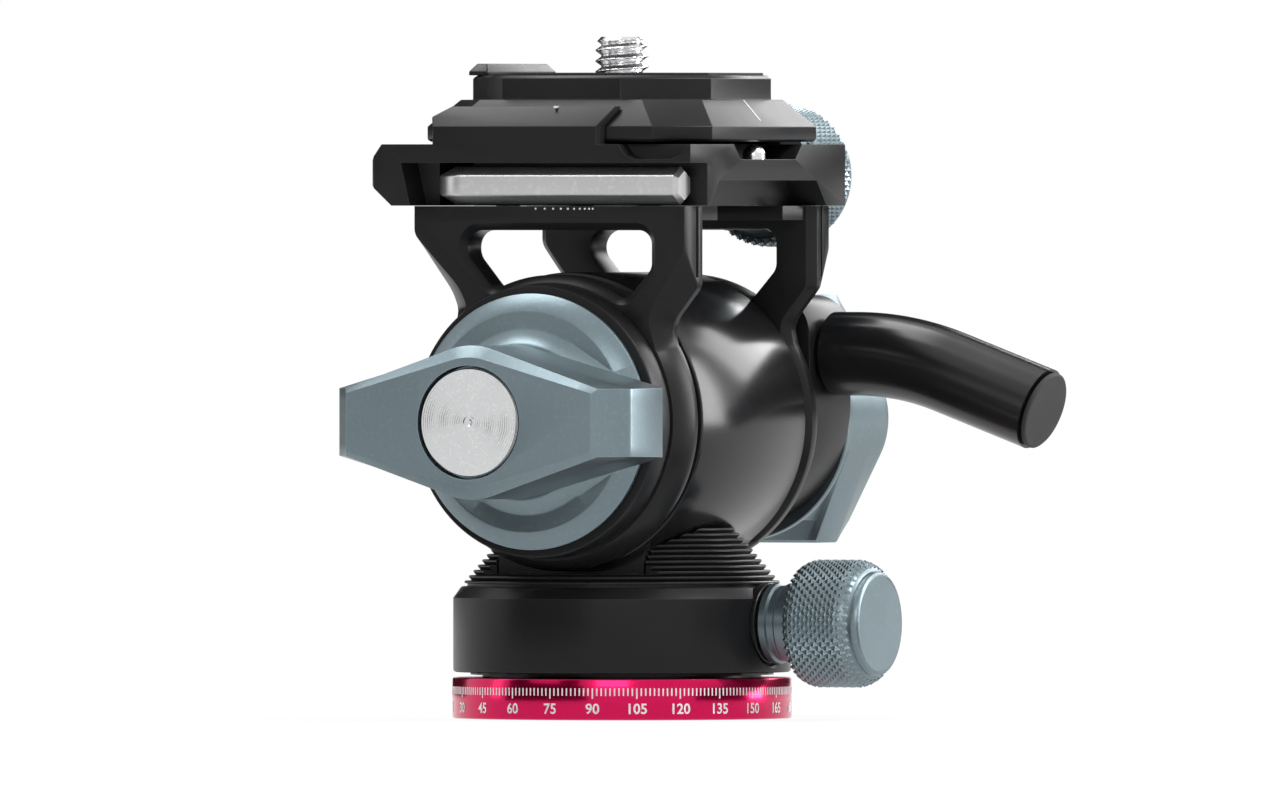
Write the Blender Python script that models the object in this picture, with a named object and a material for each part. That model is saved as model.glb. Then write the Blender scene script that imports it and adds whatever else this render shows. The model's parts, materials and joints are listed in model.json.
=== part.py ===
"""Compact fluid head for a tripod: a panning base, a fluid drum in a tilting yoke, a dovetail
camera clamp with its plate, two wing knobs and a pan handle.

Metres, +Z up. +X is the side the handle reaches to, -Y is the side with the tilt lock knob.
The origin is the middle of the seat that stands on the tripod.
"""
import math

import bmesh
import bpy
from mathutils import Vector

# Fits
GAP = 0.0003
BOLT_FIT = 0.0002
RUNNING_FIT = 0.00008
OVERRUN = 0.002
EDGE_BREAK = 0.0003
ROUND_SIDES = 32
BIG_SIDES = 64
HOUSING_SIDES = 40
SMALL_SIDES = 16
SMOOTH_ANGLE = math.radians(28)

# Base and pan axis
RING_STEP = 0.0001
RING_HEIGHT = 0.0049
BASE_INSET = 0.0035
BASE_HEIGHT = 0.0052
HUB_RADIUS_share = 0.4726
HUB_TOP = 0.0129
BUSHING_RADIUS = 0.006
BUSHING_BORE = 0.0044
BUSHING_HEIGHT = 0.009
SPINDLE_RADIUS = 0.0032
SPINDLE_ABOVE_NUT = 0.0009
PAN_DISC_THICKNESS = 0.0006
THRUST_WASHER_THICKNESS = 0.0006
NUT_ACROSS_FLATS = 0.008
NUT_HEIGHT = 0.003
PAN_BEARING_WIDTH = 0.0012
PAN_BEARING_HEIGHT = 0.0015

# Pan housing
HOUSING_RADIUS = 0.0201
HOUSING_BAND_TOP = 0.01445
HOUSING_WALL = 0.0045
HOUSING_WEB = 0.0032
SHOULDER_WIDTH = 0.001
SHOULDER_HEIGHT = 0.00125
RIB_COUNT = 11
RIB_PITCH = 0.00063
RIB_STEP = 0.00053
RIB_THICKNESS = 0.00032
RIB_GROOVE = 0.00035
RIB_FIRST_INSET = 0.00134

# Tilt drum and its neck
DRUM_FLOOR_GAP = 0.0004
DRUM_RADIUS = 0.0177
DRUM_HALF_LENGTH_share = 0.6816
DRUM_BORE_share = 0.6441
DRUM_NEAR_WALL = 0.0042
NECK_HALF_WIDTH_share = 0.4801
NECK_INSET = 0.0004
NECK_FILLET = 0.0025
NECK_INTO_DRUM = 0.0021
NECK_SCREW_X_share = 0.4615
NECK_SCREW_Y_share = 0.6667
NECK_SCREW_RADIUS = 0.0015
NECK_SCREW_HEAD_share = 0.16
NECK_SCREW_HEAD_HEIGHT = 0.002
NECK_SCREW_DEPTH = 0.0045

# Tilt shaft and what turns with it
SHAFT_RADIUS_share = 0.226
SHAFT_END_GAP = 0.0004
SHAFT_BORE_DEPTH = 0.0055
BEARING_WIDTH_share = 0.13
BEARING_LENGTH = 0.0022
SEAL_LENGTH = 0.0014
FLUID_GAP = 0.0003
CARTRIDGE_WALL_share = 0.0678
ROTOR_END_GAP = 0.0025
ROTOR_GROOVES = 3
ROTOR_GROOVE_DEPTH_share = 0.0678

# Yoke plates
PLATE_DRUM_GAP = 0.0004
PLATE_THICKNESS = 0.0049
PLATE_RISE = 0.0075
PLATE_HALF_WIDTH = 0.0184
PLATE_RING_STEP = 0.0001
RIGHT_SHOULDER_DROP = 0.0093
LEFT_SHOULDER_DROP = 0.0043
RIGHT_WAIST_shares = (0.8427, 0.6292)
LEFT_WAIST_shares = (0.764, 0.764)
FACE_RIGHT_SHOULDER_DROP = 0.0053
FACE_LEFT_SHOULDER_DROP = 0.0031
FACE_RIGHT_WAIST_shares = (0.747, 0.685)
FACE_LEFT_WAIST_shares = (0.6236, 0.7865)
HIP_CURVE_shares = ((0.22, 0.2), (0.85, 0.75))
PLATE_INNER_BEVEL = 0.0009
FACE_INSET = 0.0004
FACET_DEPTH = 0.0028
RING_BEVEL = 0.0013
WINDOW_LEFT = 0.0113
WINDOW_RIGHT = 0.0132
WINDOW_TOP_DROP = 0.0026
WINDOW_RIGHT_SIDE = 0.0022
WINDOW_ARC_INSET = 0.0004
WINDOW_LEFT_VALLEY = 0.0073
WINDOW_RIGHT_VALLEY = 0.0096
WINDOW_LEFT_VALLEY_ROUND = 0.0016
WINDOW_RIGHT_VALLEY_ROUND = 0.0012
WINDOW_LEFT_ROUND = 0.0021
WINDOW_RIGHT_ROUND = 0.0017
WINDOW_SLOPE_degrees = 42
WINDOW_BEVEL = 0.0009
FOOT_THICKNESS = 0.0014
FOOT_REACH = 0.0055
YOKE_SCREW_FAR_X = 0.0113
YOKE_SCREW_NEAR_X = 0.0094
YOKE_SCREW_RADIUS = 0.0015
YOKE_SCREW_HEAD_RADIUS = 0.0027
YOKE_SCREW_HEAD_HEIGHT = 0.002

# Tilt lock on the near side
HUB_RING_INSET = 0.0016
HUB_RING_WIDTH = 0.0036
HUB_RING_LENGTH = 0.0035
BRAKE_DISC_BORE = 0.0034
STUD_RADIUS = 0.0025
STUD_INTO_KNOB = 0.012

# Wing knobs
TILT_KNOB_DISC_INSET = 0.001
TILT_KNOB_LENGTH = 0.0169
TILT_KNOB_REACH = 0.0194
TILT_KNOB_HUB = 0.0079
TILT_KNOB_TIP_BACK_share = 0.24
HANDLE_KNOB_DISC_INSET = 0.0005
HANDLE_KNOB_LENGTH = 0.0222
HANDLE_KNOB_REACH = 0.0149
HANDLE_KNOB_HUB = 0.0079
HANDLE_KNOB_TIP_BACK_share = 0.57
KNOB_RIM = 0.0008
KNOB_RIM_CHAMFER_DEPTH = 0.0013
KNOB_RIM_CHAMFER_WIDTH = 0.00215
KNOB_FACE_CHAMFER = 0.0014
KNOB_TIP_HALF_WIDTH = 0.0035
KNOB_TIP_ROLL = 0.0032
KNOB_TIP_ROLL_DEPTH = 0.0046
CAP_RADIUS = 0.00645
CAP_THICKNESS = 0.0014
CAP_SINK = 0.0002

# Handle
HANDLE_BLOCK_HALF_WIDTH = 0.0151
HANDLE_BLOCK_CENTRE_RISE = 0.002
HANDLE_BLOCK_TOP_RISE = 0.0149
HANDLE_BLOCK_CORNER = 0.0047
HANDLE_BLOCK_THICKNESS = 0.011
HANDLE_TUBE_RADIUS = 0.005
HANDLE_TUBE_INSET = 0.0061
HANDLE_TUBE_RISE = 0.0079
HANDLE_SPIGOT_RADIUS = 0.0034
HANDLE_SPIGOT_LENGTH = 0.009
HANDLE_BEND_START = 0.0185
HANDLE_BEND_RADIUS = 0.036
HANDLE_BEND_ANGLE = math.radians(20)
HANDLE_STRAIGHT = 0.0127
HANDLE_BORE = 0.0038
HANDLE_BORE_DEPTH = 0.0095
HANDLE_PLUG_HEAD = 0.0006

# Camera clamp
CLAMP_LEFT = 0.0231
CLAMP_RIGHT = 0.0195
CLAMP_LIP = 0.0014
CLAMP_THICKNESS = 0.0073
CLAMP_NOSE_TOP_DROP = 0.0019
CLAMP_NOSE_RISE = 0.0024
CLAMP_NOSE_BACK = 0.0014
CLAMP_NOSE_UNDER = 0.0027
CLAMP_CORNER = 0.003
JAW_LEFT = 0.0165
JAW_RIGHT = 0.0086
JAW_FACE_RISE = 0.0021
JAW_RISE = 0.0045
JAW_LAND = 0.0009
JAW_END_CHAMFER = 0.0029
MOVING_JAW_RIGHT = 0.0125
MOVING_JAW_THICKNESS = 0.0029
SCOOP_HALF_WIDTH = 0.009
SCOOP_DEPTH = 0.0048
SCOOP_TOP_DEPTH = 0.0018
UNDERCUT_HALF_WIDTH = 0.0128
UNDERCUT_RISE = 0.003
UNDERCUT_DEPTH = 0.0042
CORNER_SCOOP_LEFT = 0.0098
CORNER_SCOOP_DEPTH = 0.0018
CORNER_SCOOP_WIDTH = 0.0025

# Clamp knob and its stud
CLAMP_KNOB_X = 0.0071
CLAMP_KNOB_RISE = 0.0036
CLAMP_KNOB_RADIUS = 0.0086
CLAMP_KNOB_STANDOFF = 0.001
CLAMP_KNOB_LENGTH = 0.0101
CLAMP_KNOB_NECK = 0.0045
CLAMP_KNOB_CONE = 0.0022
CLAMP_STUD_RADIUS = 0.0015
CLAMP_STUD_INTO_BODY = 0.009
CLAMP_STUD_INTO_KNOB = 0.005

# Safety pin
PIN_X = 0.0176
PIN_RADIUS = 0.0014
PIN_TRAVEL = 0.0012
PIN_HOLE_FLOOR = 0.0036
PIN_SEAT = 0.0002

# Hex key and its magnet
KEY_ACROSS_FLATS = 0.004
KEY_AXIS_INSET = 0.00215
KEY_RISE = 0.0024
KEY_LEFT = 0.0139
KEY_RIGHT = 0.0176
KEY_SHORT_LEG = 0.012
KEY_CHAMFER = 0.0005
KEY_SLOT_RISE = 0.0051
KEY_SLOT_LEFT = 0.0191
KEY_SLOT_LEAN = 0.0017
KEY_BEND_SIDES = 6
MAGNET_RADIUS = 0.0015
MAGNET_LENGTH = 0.002
MAGNET_X = 0.0063

# Camera plate
PLATE_FLANGE_HALF = 0.019
PLATE_UNDERCUT = 0.0003
PLATE_FLANGE_THICKNESS = 0.0018
PLATE_NECK_HALF = 0.01605
PLATE_SLOPE_HEIGHT = 0.0032
PLATE_HEAD_HALF = 0.0159
PLATE_HEAD_THICKNESS = 0.0029
PLATE_HEAD_EDGE = 0.0004
PLATE_LOWER_CORNER = 0.0053
PLATE_UPPER_CORNER = 0.008
PAD_THICKNESS = 0.0003
PAD_INSET = 0.0007
PAD_HOLE = 0.0042
LUG_LEFT = 0.0159
LUG_RIGHT = 0.0134
LUG_HALF_WIDTH = 0.009
LUG_RISE = 0.0014
LUG_CHAMFER = 0.0011
LUG_SLOPE = 0.0012

# Camera screw
SCREW_RADIUS = 0.003175
SCREW_RISE = 0.0046
SCREW_HEAD_RADIUS = 0.0072
SCREW_HEAD_HEIGHT = 0.0022
SCREW_END_CHAMFER = 0.0006
COIN_SLOT_WIDTH = 0.0015
COIN_SLOT_DEPTH = 0.0012

# Pan lock knob
PAN_KNOB_HEIGHT = 0.0114
PAN_KNOB_NECK_RADIUS = 0.0048
PAN_KNOB_NECK_LENGTH = 0.0046
PAN_KNOB_RADIUS = 0.00765
PAN_KNOB_BODY_LENGTH = 0.0087
PAN_KNOB_FACE_LENGTH = 0.001
PAN_KNOB_BEVEL = 0.00125
PAN_KNOB_FACE_RADIUS = 0.006
PAN_KNOB_COUNTERBORE_DEPTH = 0.0012
PAN_STUD_RADIUS = 0.0025
PAN_STUD_REACH = 0.002
PAN_WASHER_THICKNESS = 0.0008
SHOE_HALF_ANGLE = math.radians(20)
SHOE_HALF_HEIGHT = 0.0014

# Sizes that follow from the ones above
RING_RADIUS = HOUSING_RADIUS + RING_STEP
BASE_RADIUS = HOUSING_RADIUS - BASE_INSET
HUB_RADIUS = HOUSING_RADIUS * HUB_RADIUS_share
HOUSING_HOLLOW = HOUSING_RADIUS - HOUSING_WALL
RIB_FIRST_RADIUS = HOUSING_RADIUS - RIB_FIRST_INSET
HOUSING_BOTTOM = RING_HEIGHT + 2 * GAP
WEB_BOTTOM = HUB_TOP + GAP + PAN_DISC_THICKNESS + GAP
WEB_TOP = WEB_BOTTOM + HOUSING_WEB
NUT_BOTTOM = WEB_TOP + GAP + THRUST_WASHER_THICKNESS + GAP
SPINDLE_TOP = NUT_BOTTOM + NUT_HEIGHT + SPINDLE_ABOVE_NUT
PAN_STUD_TIP = HOUSING_HOLLOW - PAN_STUD_REACH
PAN_KNOB_NECK_END = HOUSING_RADIUS + PAN_KNOB_NECK_LENGTH
PAN_KNOB_BODY_END = PAN_KNOB_NECK_END + PAN_KNOB_BODY_LENGTH
PAN_KNOB_END = PAN_KNOB_BODY_END + PAN_KNOB_FACE_LENGTH
TILT_AXIS_HEIGHT = WEB_TOP + DRUM_FLOOR_GAP + DRUM_RADIUS
TILT_CENTRE = Vector((0, 0, TILT_AXIS_HEIGHT))
DRUM_HALF_LENGTH = HOUSING_RADIUS * DRUM_HALF_LENGTH_share
DRUM_BORE = DRUM_RADIUS * DRUM_BORE_share
NECK_HALF_WIDTH = HOUSING_RADIUS * NECK_HALF_WIDTH_share
NECK_HALF_LENGTH = DRUM_HALF_LENGTH - NECK_INSET
NECK_SCREW_X = HOUSING_HOLLOW * NECK_SCREW_X_share
NECK_SCREW_Y = HOUSING_HOLLOW * NECK_SCREW_Y_share
NECK_SCREW_HEAD_RADIUS = HOUSING_HOLLOW * NECK_SCREW_HEAD_share
SHAFT_RADIUS = DRUM_RADIUS * SHAFT_RADIUS_share
BEARING_WIDTH = DRUM_RADIUS * BEARING_WIDTH_share
CARTRIDGE_WALL = DRUM_RADIUS * CARTRIDGE_WALL_share
ROTOR_GROOVE_DEPTH = DRUM_RADIUS * ROTOR_GROOVE_DEPTH_share
BEARING_RADIUS = SHAFT_RADIUS + GAP + BEARING_WIDTH
COVER_RADIUS = DRUM_BORE - GAP
ROTOR_HALF_LENGTH = DRUM_HALF_LENGTH - DRUM_NEAR_WALL - ROTOR_END_GAP
PLATE_INNER = DRUM_HALF_LENGTH + PLATE_DRUM_GAP
PLATE_OUTER = PLATE_INNER + PLATE_THICKNESS
SHAFT_HALF_LENGTH = PLATE_OUTER - SHAFT_END_GAP
PLATE_RING_RADIUS = DRUM_RADIUS + PLATE_RING_STEP
PLATE_TOP = TILT_AXIS_HEIGHT + PLATE_RING_RADIUS + PLATE_RISE
WINDOW_TOP = PLATE_TOP - WINDOW_TOP_DROP
WINDOW_ARC_RADIUS = PLATE_RING_RADIUS - WINDOW_ARC_INSET
FOOT_BOTTOM = PLATE_TOP - FOOT_THICKNESS
YOKE_SCREW_Y = PLATE_INNER - FOOT_REACH / 2
HUB_RING_RADIUS = PLATE_RING_RADIUS - HUB_RING_INSET
HUB_RING_BORE = HUB_RING_RADIUS - HUB_RING_WIDTH
HUB_RING_FACE = PLATE_OUTER + GAP + HUB_RING_LENGTH
TILT_KNOB_BACK = HUB_RING_FACE + GAP
TILT_KNOB_DISC_RADIUS = HUB_RING_RADIUS - TILT_KNOB_DISC_INSET
BLOCK_INNER = PLATE_OUTER + 2 * GAP
BLOCK_OUTER = BLOCK_INNER + HANDLE_BLOCK_THICKNESS
HANDLE_BLOCK_CENTRE_HEIGHT = TILT_AXIS_HEIGHT + HANDLE_BLOCK_CENTRE_RISE
HANDLE_BLOCK_TOP = TILT_AXIS_HEIGHT + HANDLE_BLOCK_TOP_RISE
HANDLE_TUBE_Y = BLOCK_INNER + HANDLE_TUBE_INSET
HANDLE_TUBE_HEIGHT = TILT_AXIS_HEIGHT + HANDLE_TUBE_RISE
HANDLE_KNOB_BACK = BLOCK_OUTER + GAP
HANDLE_KNOB_DISC_RADIUS = HANDLE_BLOCK_HALF_WIDTH - HANDLE_KNOB_DISC_INSET
CLAMP_BOTTOM = PLATE_TOP + GAP
CLAMP_TOP = CLAMP_BOTTOM + CLAMP_THICKNESS
CLAMP_HALF_WIDTH = PLATE_FLANGE_HALF + CLAMP_LIP
CLAMP_NOSE_TOP = CLAMP_TOP - CLAMP_NOSE_TOP_DROP
CLAMP_NOSE_BOTTOM = CLAMP_BOTTOM + CLAMP_NOSE_RISE
JAW_FACE_TOP = CLAMP_TOP + JAW_FACE_RISE
JAW_TOP = CLAMP_TOP + JAW_RISE
JAW_SEAT = PLATE_FLANGE_HALF + GAP
UNDERCUT_TOP = CLAMP_BOTTOM + UNDERCUT_RISE
CLAMP_KNOB_HEIGHT = CLAMP_BOTTOM + CLAMP_KNOB_RISE
CLAMP_KNOB_START = CLAMP_HALF_WIDTH + CLAMP_KNOB_STANDOFF
PIN_HOLE_BOTTOM = CLAMP_BOTTOM + PIN_HOLE_FLOOR
KEY_HEIGHT = CLAMP_BOTTOM + KEY_RISE
KEY_SLOT_TOP = CLAMP_BOTTOM + KEY_SLOT_RISE
KEY_Y = KEY_AXIS_INSET - CLAMP_HALF_WIDTH
KEY_SLOT_BACK = KEY_Y + KEY_ACROSS_FLATS / 2 + GAP
PLATE_BOTTOM = CLAMP_TOP + GAP
PLATE_FLANGE_TOP = PLATE_BOTTOM + PLATE_FLANGE_THICKNESS
PLATE_NECK_HEIGHT = PLATE_FLANGE_TOP + PLATE_SLOPE_HEIGHT
PLATE_HEAD_TOP = PLATE_NECK_HEIGHT + PLATE_HEAD_THICKNESS
LUG_TOP = PLATE_HEAD_TOP + LUG_RISE
SCREW_TOP = PLATE_HEAD_TOP + SCREW_RISE


def clear_scene():
    """Start from an empty scene."""
    for old in list(bpy.data.objects):
        bpy.data.objects.remove(old, do_unlink=True)


def material(name, colour, roughness, metallic):
    """A plain surface for one kind of finish."""
    made = bpy.data.materials.new(name)
    made.use_nodes = True
    shader = made.node_tree.nodes["Principled BSDF"]
    shader.inputs["Base Color"].default_value = (*colour, 1)
    shader.inputs["Roughness"].default_value = roughness
    shader.inputs["Metallic"].default_value = metallic
    return made


def body(name, centre=(0, 0, 0)):
    """An empty on a joint's axis, which carries the pieces that move together."""
    empty = bpy.data.objects.new(name, None)
    empty.empty_display_size = RING_HEIGHT
    empty.location = centre
    bpy.context.collection.objects.link(empty)
    return empty


def add(name, mesh_data, finish, carrier):
    """Make an object from a bmesh in world places, carried by an empty."""
    bmesh.ops.recalc_face_normals(mesh_data, faces=mesh_data.faces)
    if mesh_data.calc_volume(signed=True) < 0:
        bmesh.ops.reverse_faces(mesh_data, faces=mesh_data.faces)
    bmesh.ops.translate(mesh_data, verts=mesh_data.verts, vec=-carrier.location)
    mesh = bpy.data.meshes.new(name)
    mesh_data.to_mesh(mesh)
    mesh_data.free()
    mesh.shade_smooth()
    mesh.set_sharp_from_angle(angle=SMOOTH_ANGLE)
    if finish:
        mesh.materials.append(finish)
    made = bpy.data.objects.new(name, mesh)
    made.parent = carrier
    bpy.context.collection.objects.link(made)
    return made


def combine(target, operation, tools):
    """Cut tools from a target or join them to it."""
    for index, mesh_data in enumerate(tools):
        tool = add(f"{target.name}_{operation.lower()}_{index}", mesh_data, None, target.parent)
        tool.hide_render = True
        tool.display_type = "WIRE"
        boolean = target.modifiers.new(tool.name, "BOOLEAN")
        boolean.operation = operation
        boolean.solver = "EXACT"
        boolean.object = tool
    return target


def cut(target, *tools):
    return combine(target, "DIFFERENCE", tools)


def join(target, *tools):
    return combine(target, "UNION", tools)


def axis_point(axis, across, up, along):
    """World place of an outline point that lies at a height along an axis."""
    places = {"X": (along, across, up), "Y": (across, along, up), "Z": (across, up, along)}
    return places[axis]


def layered(axis, layers):
    """A closed solid through outlines of equal point count, each at its place along an axis."""
    mesh_data = bmesh.new()
    rings = []
    for along, outline in layers:
        rings.append([mesh_data.verts.new(axis_point(axis, a, b, along)) for a, b in outline])
    count = len(rings[0])
    for lower, upper in zip(rings, rings[1:]):
        for i in range(count):
            j = (i + 1) % count
            mesh_data.faces.new((lower[i], lower[j], upper[j], upper[i]))
    mesh_data.faces.new(rings[0])
    mesh_data.faces.new(rings[-1])
    return mesh_data


def prism(axis, outline, low, high):
    return layered(axis, [(low, outline), (high, outline)])


def rectangle(left, right, bottom, top):
    return [(left, bottom), (right, bottom), (right, top), (left, top)]


def box(x_span, y_span, z_span):
    return prism("Z", rectangle(*x_span, *y_span), *z_span)


def arc(centre, radius, start, end, steps):
    """Points along an arc, with angles in degrees."""
    points = []
    for i in range(steps + 1):
        angle = math.radians(start + (end - start) * i / steps)
        points.append((centre[0] + radius * math.cos(angle), centre[1] + radius * math.sin(angle)))
    return points


def turned(axis, profile, centre=(0, 0, 0), sides=ROUND_SIDES):
    """A solid of revolution from (radius, along) points, in a closed loop or from axis to axis."""
    mesh_data = bmesh.new()
    verts = [mesh_data.verts.new((radius, 0, along)) for radius, along in profile]
    edges = [mesh_data.edges.new(pair) for pair in zip(verts, verts[1:])]
    if profile[0][0] > 0 or profile[-1][0] > 0:
        edges.append(mesh_data.edges.new((verts[-1], verts[0])))
    bmesh.ops.spin(mesh_data, geom=verts + edges, cent=(0, 0, 0), axis=(0, 0, 1),
                   angle=math.tau, steps=sides, use_merge=True, use_duplicate=False)
    bmesh.ops.remove_doubles(mesh_data, verts=mesh_data.verts, dist=GAP / ROUND_SIDES)
    order = {"X": (2, 0, 1), "Y": (1, 2, 0), "Z": (0, 1, 2)}[axis]
    for vert in mesh_data.verts:
        vert.co = Vector([vert.co[i] for i in order]) + Vector(centre)
    return mesh_data


def tube(axis, bore, radius, low, high, centre=(0, 0, 0), sides=ROUND_SIDES):
    """A plain ring."""
    profile = [(bore, low), (radius, low), (radius, high), (bore, high)]
    return turned(axis, profile, centre, sides)


def rod(axis, radius, low, high, centre=(0, 0, 0), sides=SMALL_SIDES):
    """A plain cylinder."""
    profile = [(0, low), (radius, low), (radius, high), (0, high)]
    return turned(axis, profile, centre, sides)


def chamfered_rod(axis, radius, low, high, edge, centre=(0, 0, 0), sides=SMALL_SIDES):
    """A cylinder with both end edges broken."""
    profile = [(0, low), (radius - edge, low), (radius, low + edge)]
    profile += [(radius, high - edge), (radius - edge, high), (0, high)]
    return turned(axis, profile, centre, sides)


def hexagon(across_flats, turn=0):
    """A hexagon's corners about its middle."""
    radius = across_flats / math.sqrt(3)
    return [(radius * math.cos(math.radians(60 * i + turn)),
             radius * math.sin(math.radians(60 * i + turn))) for i in range(6)]


def scale_ring(finish, carrier):
    bore = BASE_RADIUS + GAP
    top_edge = RING_RADIUS - EDGE_BREAK
    profile = [(bore, 0), (top_edge, 0), (RING_RADIUS, EDGE_BREAK)]
    profile += [(RING_RADIUS, RING_HEIGHT - EDGE_BREAK), (top_edge, RING_HEIGHT), (bore, RING_HEIGHT)]
    return add("scale_ring", turned("Z", profile, sides=BIG_SIDES), finish, carrier)


def base_plate(finish, carrier):
    bore = BUSHING_RADIUS + GAP
    profile = [(bore, 0), (BASE_RADIUS, 0), (BASE_RADIUS, BASE_HEIGHT), (HUB_RADIUS, BASE_HEIGHT)]
    profile += [(HUB_RADIUS, HUB_TOP), (bore, HUB_TOP)]
    return add("base_plate", turned("Z", profile), finish, carrier)


def tripod_bushing(finish, carrier):
    lip = BUSHING_BORE + EDGE_BREAK
    profile = [(lip, 0), (BUSHING_RADIUS, 0), (BUSHING_RADIUS, BUSHING_HEIGHT)]
    profile += [(BUSHING_BORE, BUSHING_HEIGHT), (BUSHING_BORE, EDGE_BREAK)]
    return add("tripod_bushing", turned("Z", profile), finish, carrier)


def pan_spindle(finish, carrier):
    profile = [(0, BUSHING_HEIGHT + GAP), (BUSHING_RADIUS, BUSHING_HEIGHT + GAP), (BUSHING_RADIUS, HUB_TOP)]
    profile += [(SPINDLE_RADIUS, HUB_TOP), (SPINDLE_RADIUS, SPINDLE_TOP), (0, SPINDLE_TOP)]
    return add("pan_spindle", turned("Z", profile), finish, carrier)


def pan_stack(steel, friction, carrier):
    """The friction disc under the housing's web, and the washer and nut on top of it."""
    bore = SPINDLE_RADIUS + GAP
    disc_bottom = HUB_TOP + GAP
    disc = tube("Z", bore, HUB_RADIUS, disc_bottom, disc_bottom + PAN_DISC_THICKNESS)
    add("pan_friction_disc", disc, friction, carrier)
    washer_bottom = WEB_TOP + GAP
    washer = tube("Z", bore, BUSHING_RADIUS, washer_bottom, washer_bottom + THRUST_WASHER_THICKNESS)
    add("pan_thrust_washer", washer, steel, carrier)
    nut = add("pan_spindle_nut", prism("Z", hexagon(NUT_ACROSS_FLATS), NUT_BOTTOM, NUT_BOTTOM + NUT_HEIGHT),
              steel, carrier)
    cut(nut, rod("Z", bore, NUT_BOTTOM - OVERRUN, NUT_BOTTOM + NUT_HEIGHT + OVERRUN))


def pan_bearing(finish, carrier):
    low = RING_HEIGHT + GAP
    inner = BASE_RADIUS + GAP
    ring = tube("Z", inner, inner + PAN_BEARING_WIDTH, low, low + PAN_BEARING_HEIGHT)
    return add("pan_bearing_ring", ring, finish, carrier)


def rib_profile():
    """The stepped ribs of the housing's cone, from the bottom up."""
    points = []
    for i in range(RIB_COUNT):
        tip = RIB_FIRST_RADIUS - RIB_STEP * i
        low = HOUSING_BAND_TOP + SHOULDER_HEIGHT + RIB_GROOVE + RIB_PITCH * i
        root = tip - RIB_STEP - RIB_GROOVE
        points += [(tip, low), (tip, low + RIB_THICKNESS), (root, low + RIB_THICKNESS)]
    return points


def pan_housing(finish, carrier):
    """The panning body: a band, a ribbed cone, a hollow below and a pocket for the drum's neck."""
    bore = SPINDLE_RADIUS + RUNNING_FIT
    hollow = HOUSING_HOLLOW
    counterbore = BASE_RADIUS + GAP + PAN_BEARING_WIDTH + GAP
    counterbore_top = RING_HEIGHT + GAP + PAN_BEARING_HEIGHT + GAP
    shoulder = HOUSING_RADIUS - SHOULDER_WIDTH
    shoulder_top = HOUSING_BAND_TOP + SHOULDER_HEIGHT
    ribs = rib_profile()
    profile = [(counterbore, HOUSING_BOTTOM), (HOUSING_RADIUS - EDGE_BREAK, HOUSING_BOTTOM)]
    profile += [(HOUSING_RADIUS, HOUSING_BOTTOM + EDGE_BREAK), (HOUSING_RADIUS, HOUSING_BAND_TOP)]
    profile += [(shoulder, shoulder_top), (ribs[0][0] - RIB_GROOVE, shoulder_top)]
    profile += [(ribs[0][0] - RIB_GROOVE, ribs[0][1])] + ribs
    profile += [(bore, ribs[-1][1]), (bore, WEB_BOTTOM), (hollow, WEB_BOTTOM)]
    profile += [(hollow, counterbore_top), (counterbore, counterbore_top)]
    housing = add("pan_housing", turned("Z", profile, sides=HOUSING_SIDES), finish, carrier)
    for x, y in neck_screw_places():
        hole = rod("Z", NECK_SCREW_RADIUS + BOLT_FIT, WEB_BOTTOM - OVERRUN, WEB_TOP + OVERRUN, (x, y, 0))
        cut(housing, hole)
    reach = HOUSING_RADIUS + OVERRUN
    neck_x = NECK_HALF_WIDTH + GAP
    neck_y = NECK_HALF_LENGTH
    half = [(-reach, -reach), (reach, -reach), (reach, -neck_y), (neck_x, -neck_y)]
    half += [(neck_x, neck_y), (reach, neck_y)]
    pocket_outline = half + [(-x, -y) for x, y in half]
    pocket = prism("Z", pocket_outline, WEB_TOP, TILT_AXIS_HEIGHT)
    trough = rod("Y", DRUM_RADIUS + GAP, -reach, reach, TILT_CENTRE, BIG_SIDES)
    knob_centre = (0, 0, PAN_KNOB_HEIGHT)
    stud_hole = rod("X", PAN_STUD_RADIUS + GAP, hollow - OVERRUN, reach, knob_centre)
    seat = rod("X", PAN_KNOB_NECK_RADIUS + GAP, HOUSING_RADIUS - PAN_KNOB_COUNTERBORE_DEPTH, reach,
               knob_centre, ROUND_SIDES)
    return cut(housing, pocket, trough, stud_hole, seat)


def neck_screw_places():
    return [(sx * NECK_SCREW_X, sy * NECK_SCREW_Y) for sx in (-1, 1) for sy in (-1, 1)]


def neck_outline():
    """The neck seen along the tilt axis: straight sides with fillets into the drum."""
    bottom = WEB_TOP + GAP
    fillet_x = NECK_HALF_WIDTH + NECK_FILLET
    outer = DRUM_RADIUS + NECK_FILLET
    fillet_z = TILT_AXIS_HEIGHT - math.sqrt(outer ** 2 - fillet_x ** 2)
    touch = math.degrees(math.asin((TILT_AXIS_HEIGHT - fillet_z) / outer))
    right = [(NECK_HALF_WIDTH, bottom)]
    right += arc((fillet_x, fillet_z), NECK_FILLET, 180, 180 - touch, SMALL_SIDES // 4)
    right += arc((0, TILT_AXIS_HEIGHT), DRUM_RADIUS - NECK_INTO_DRUM, -touch, -88, SMALL_SIDES // 4)
    return right + [(-x, z) for x, z in reversed(right)]


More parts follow.
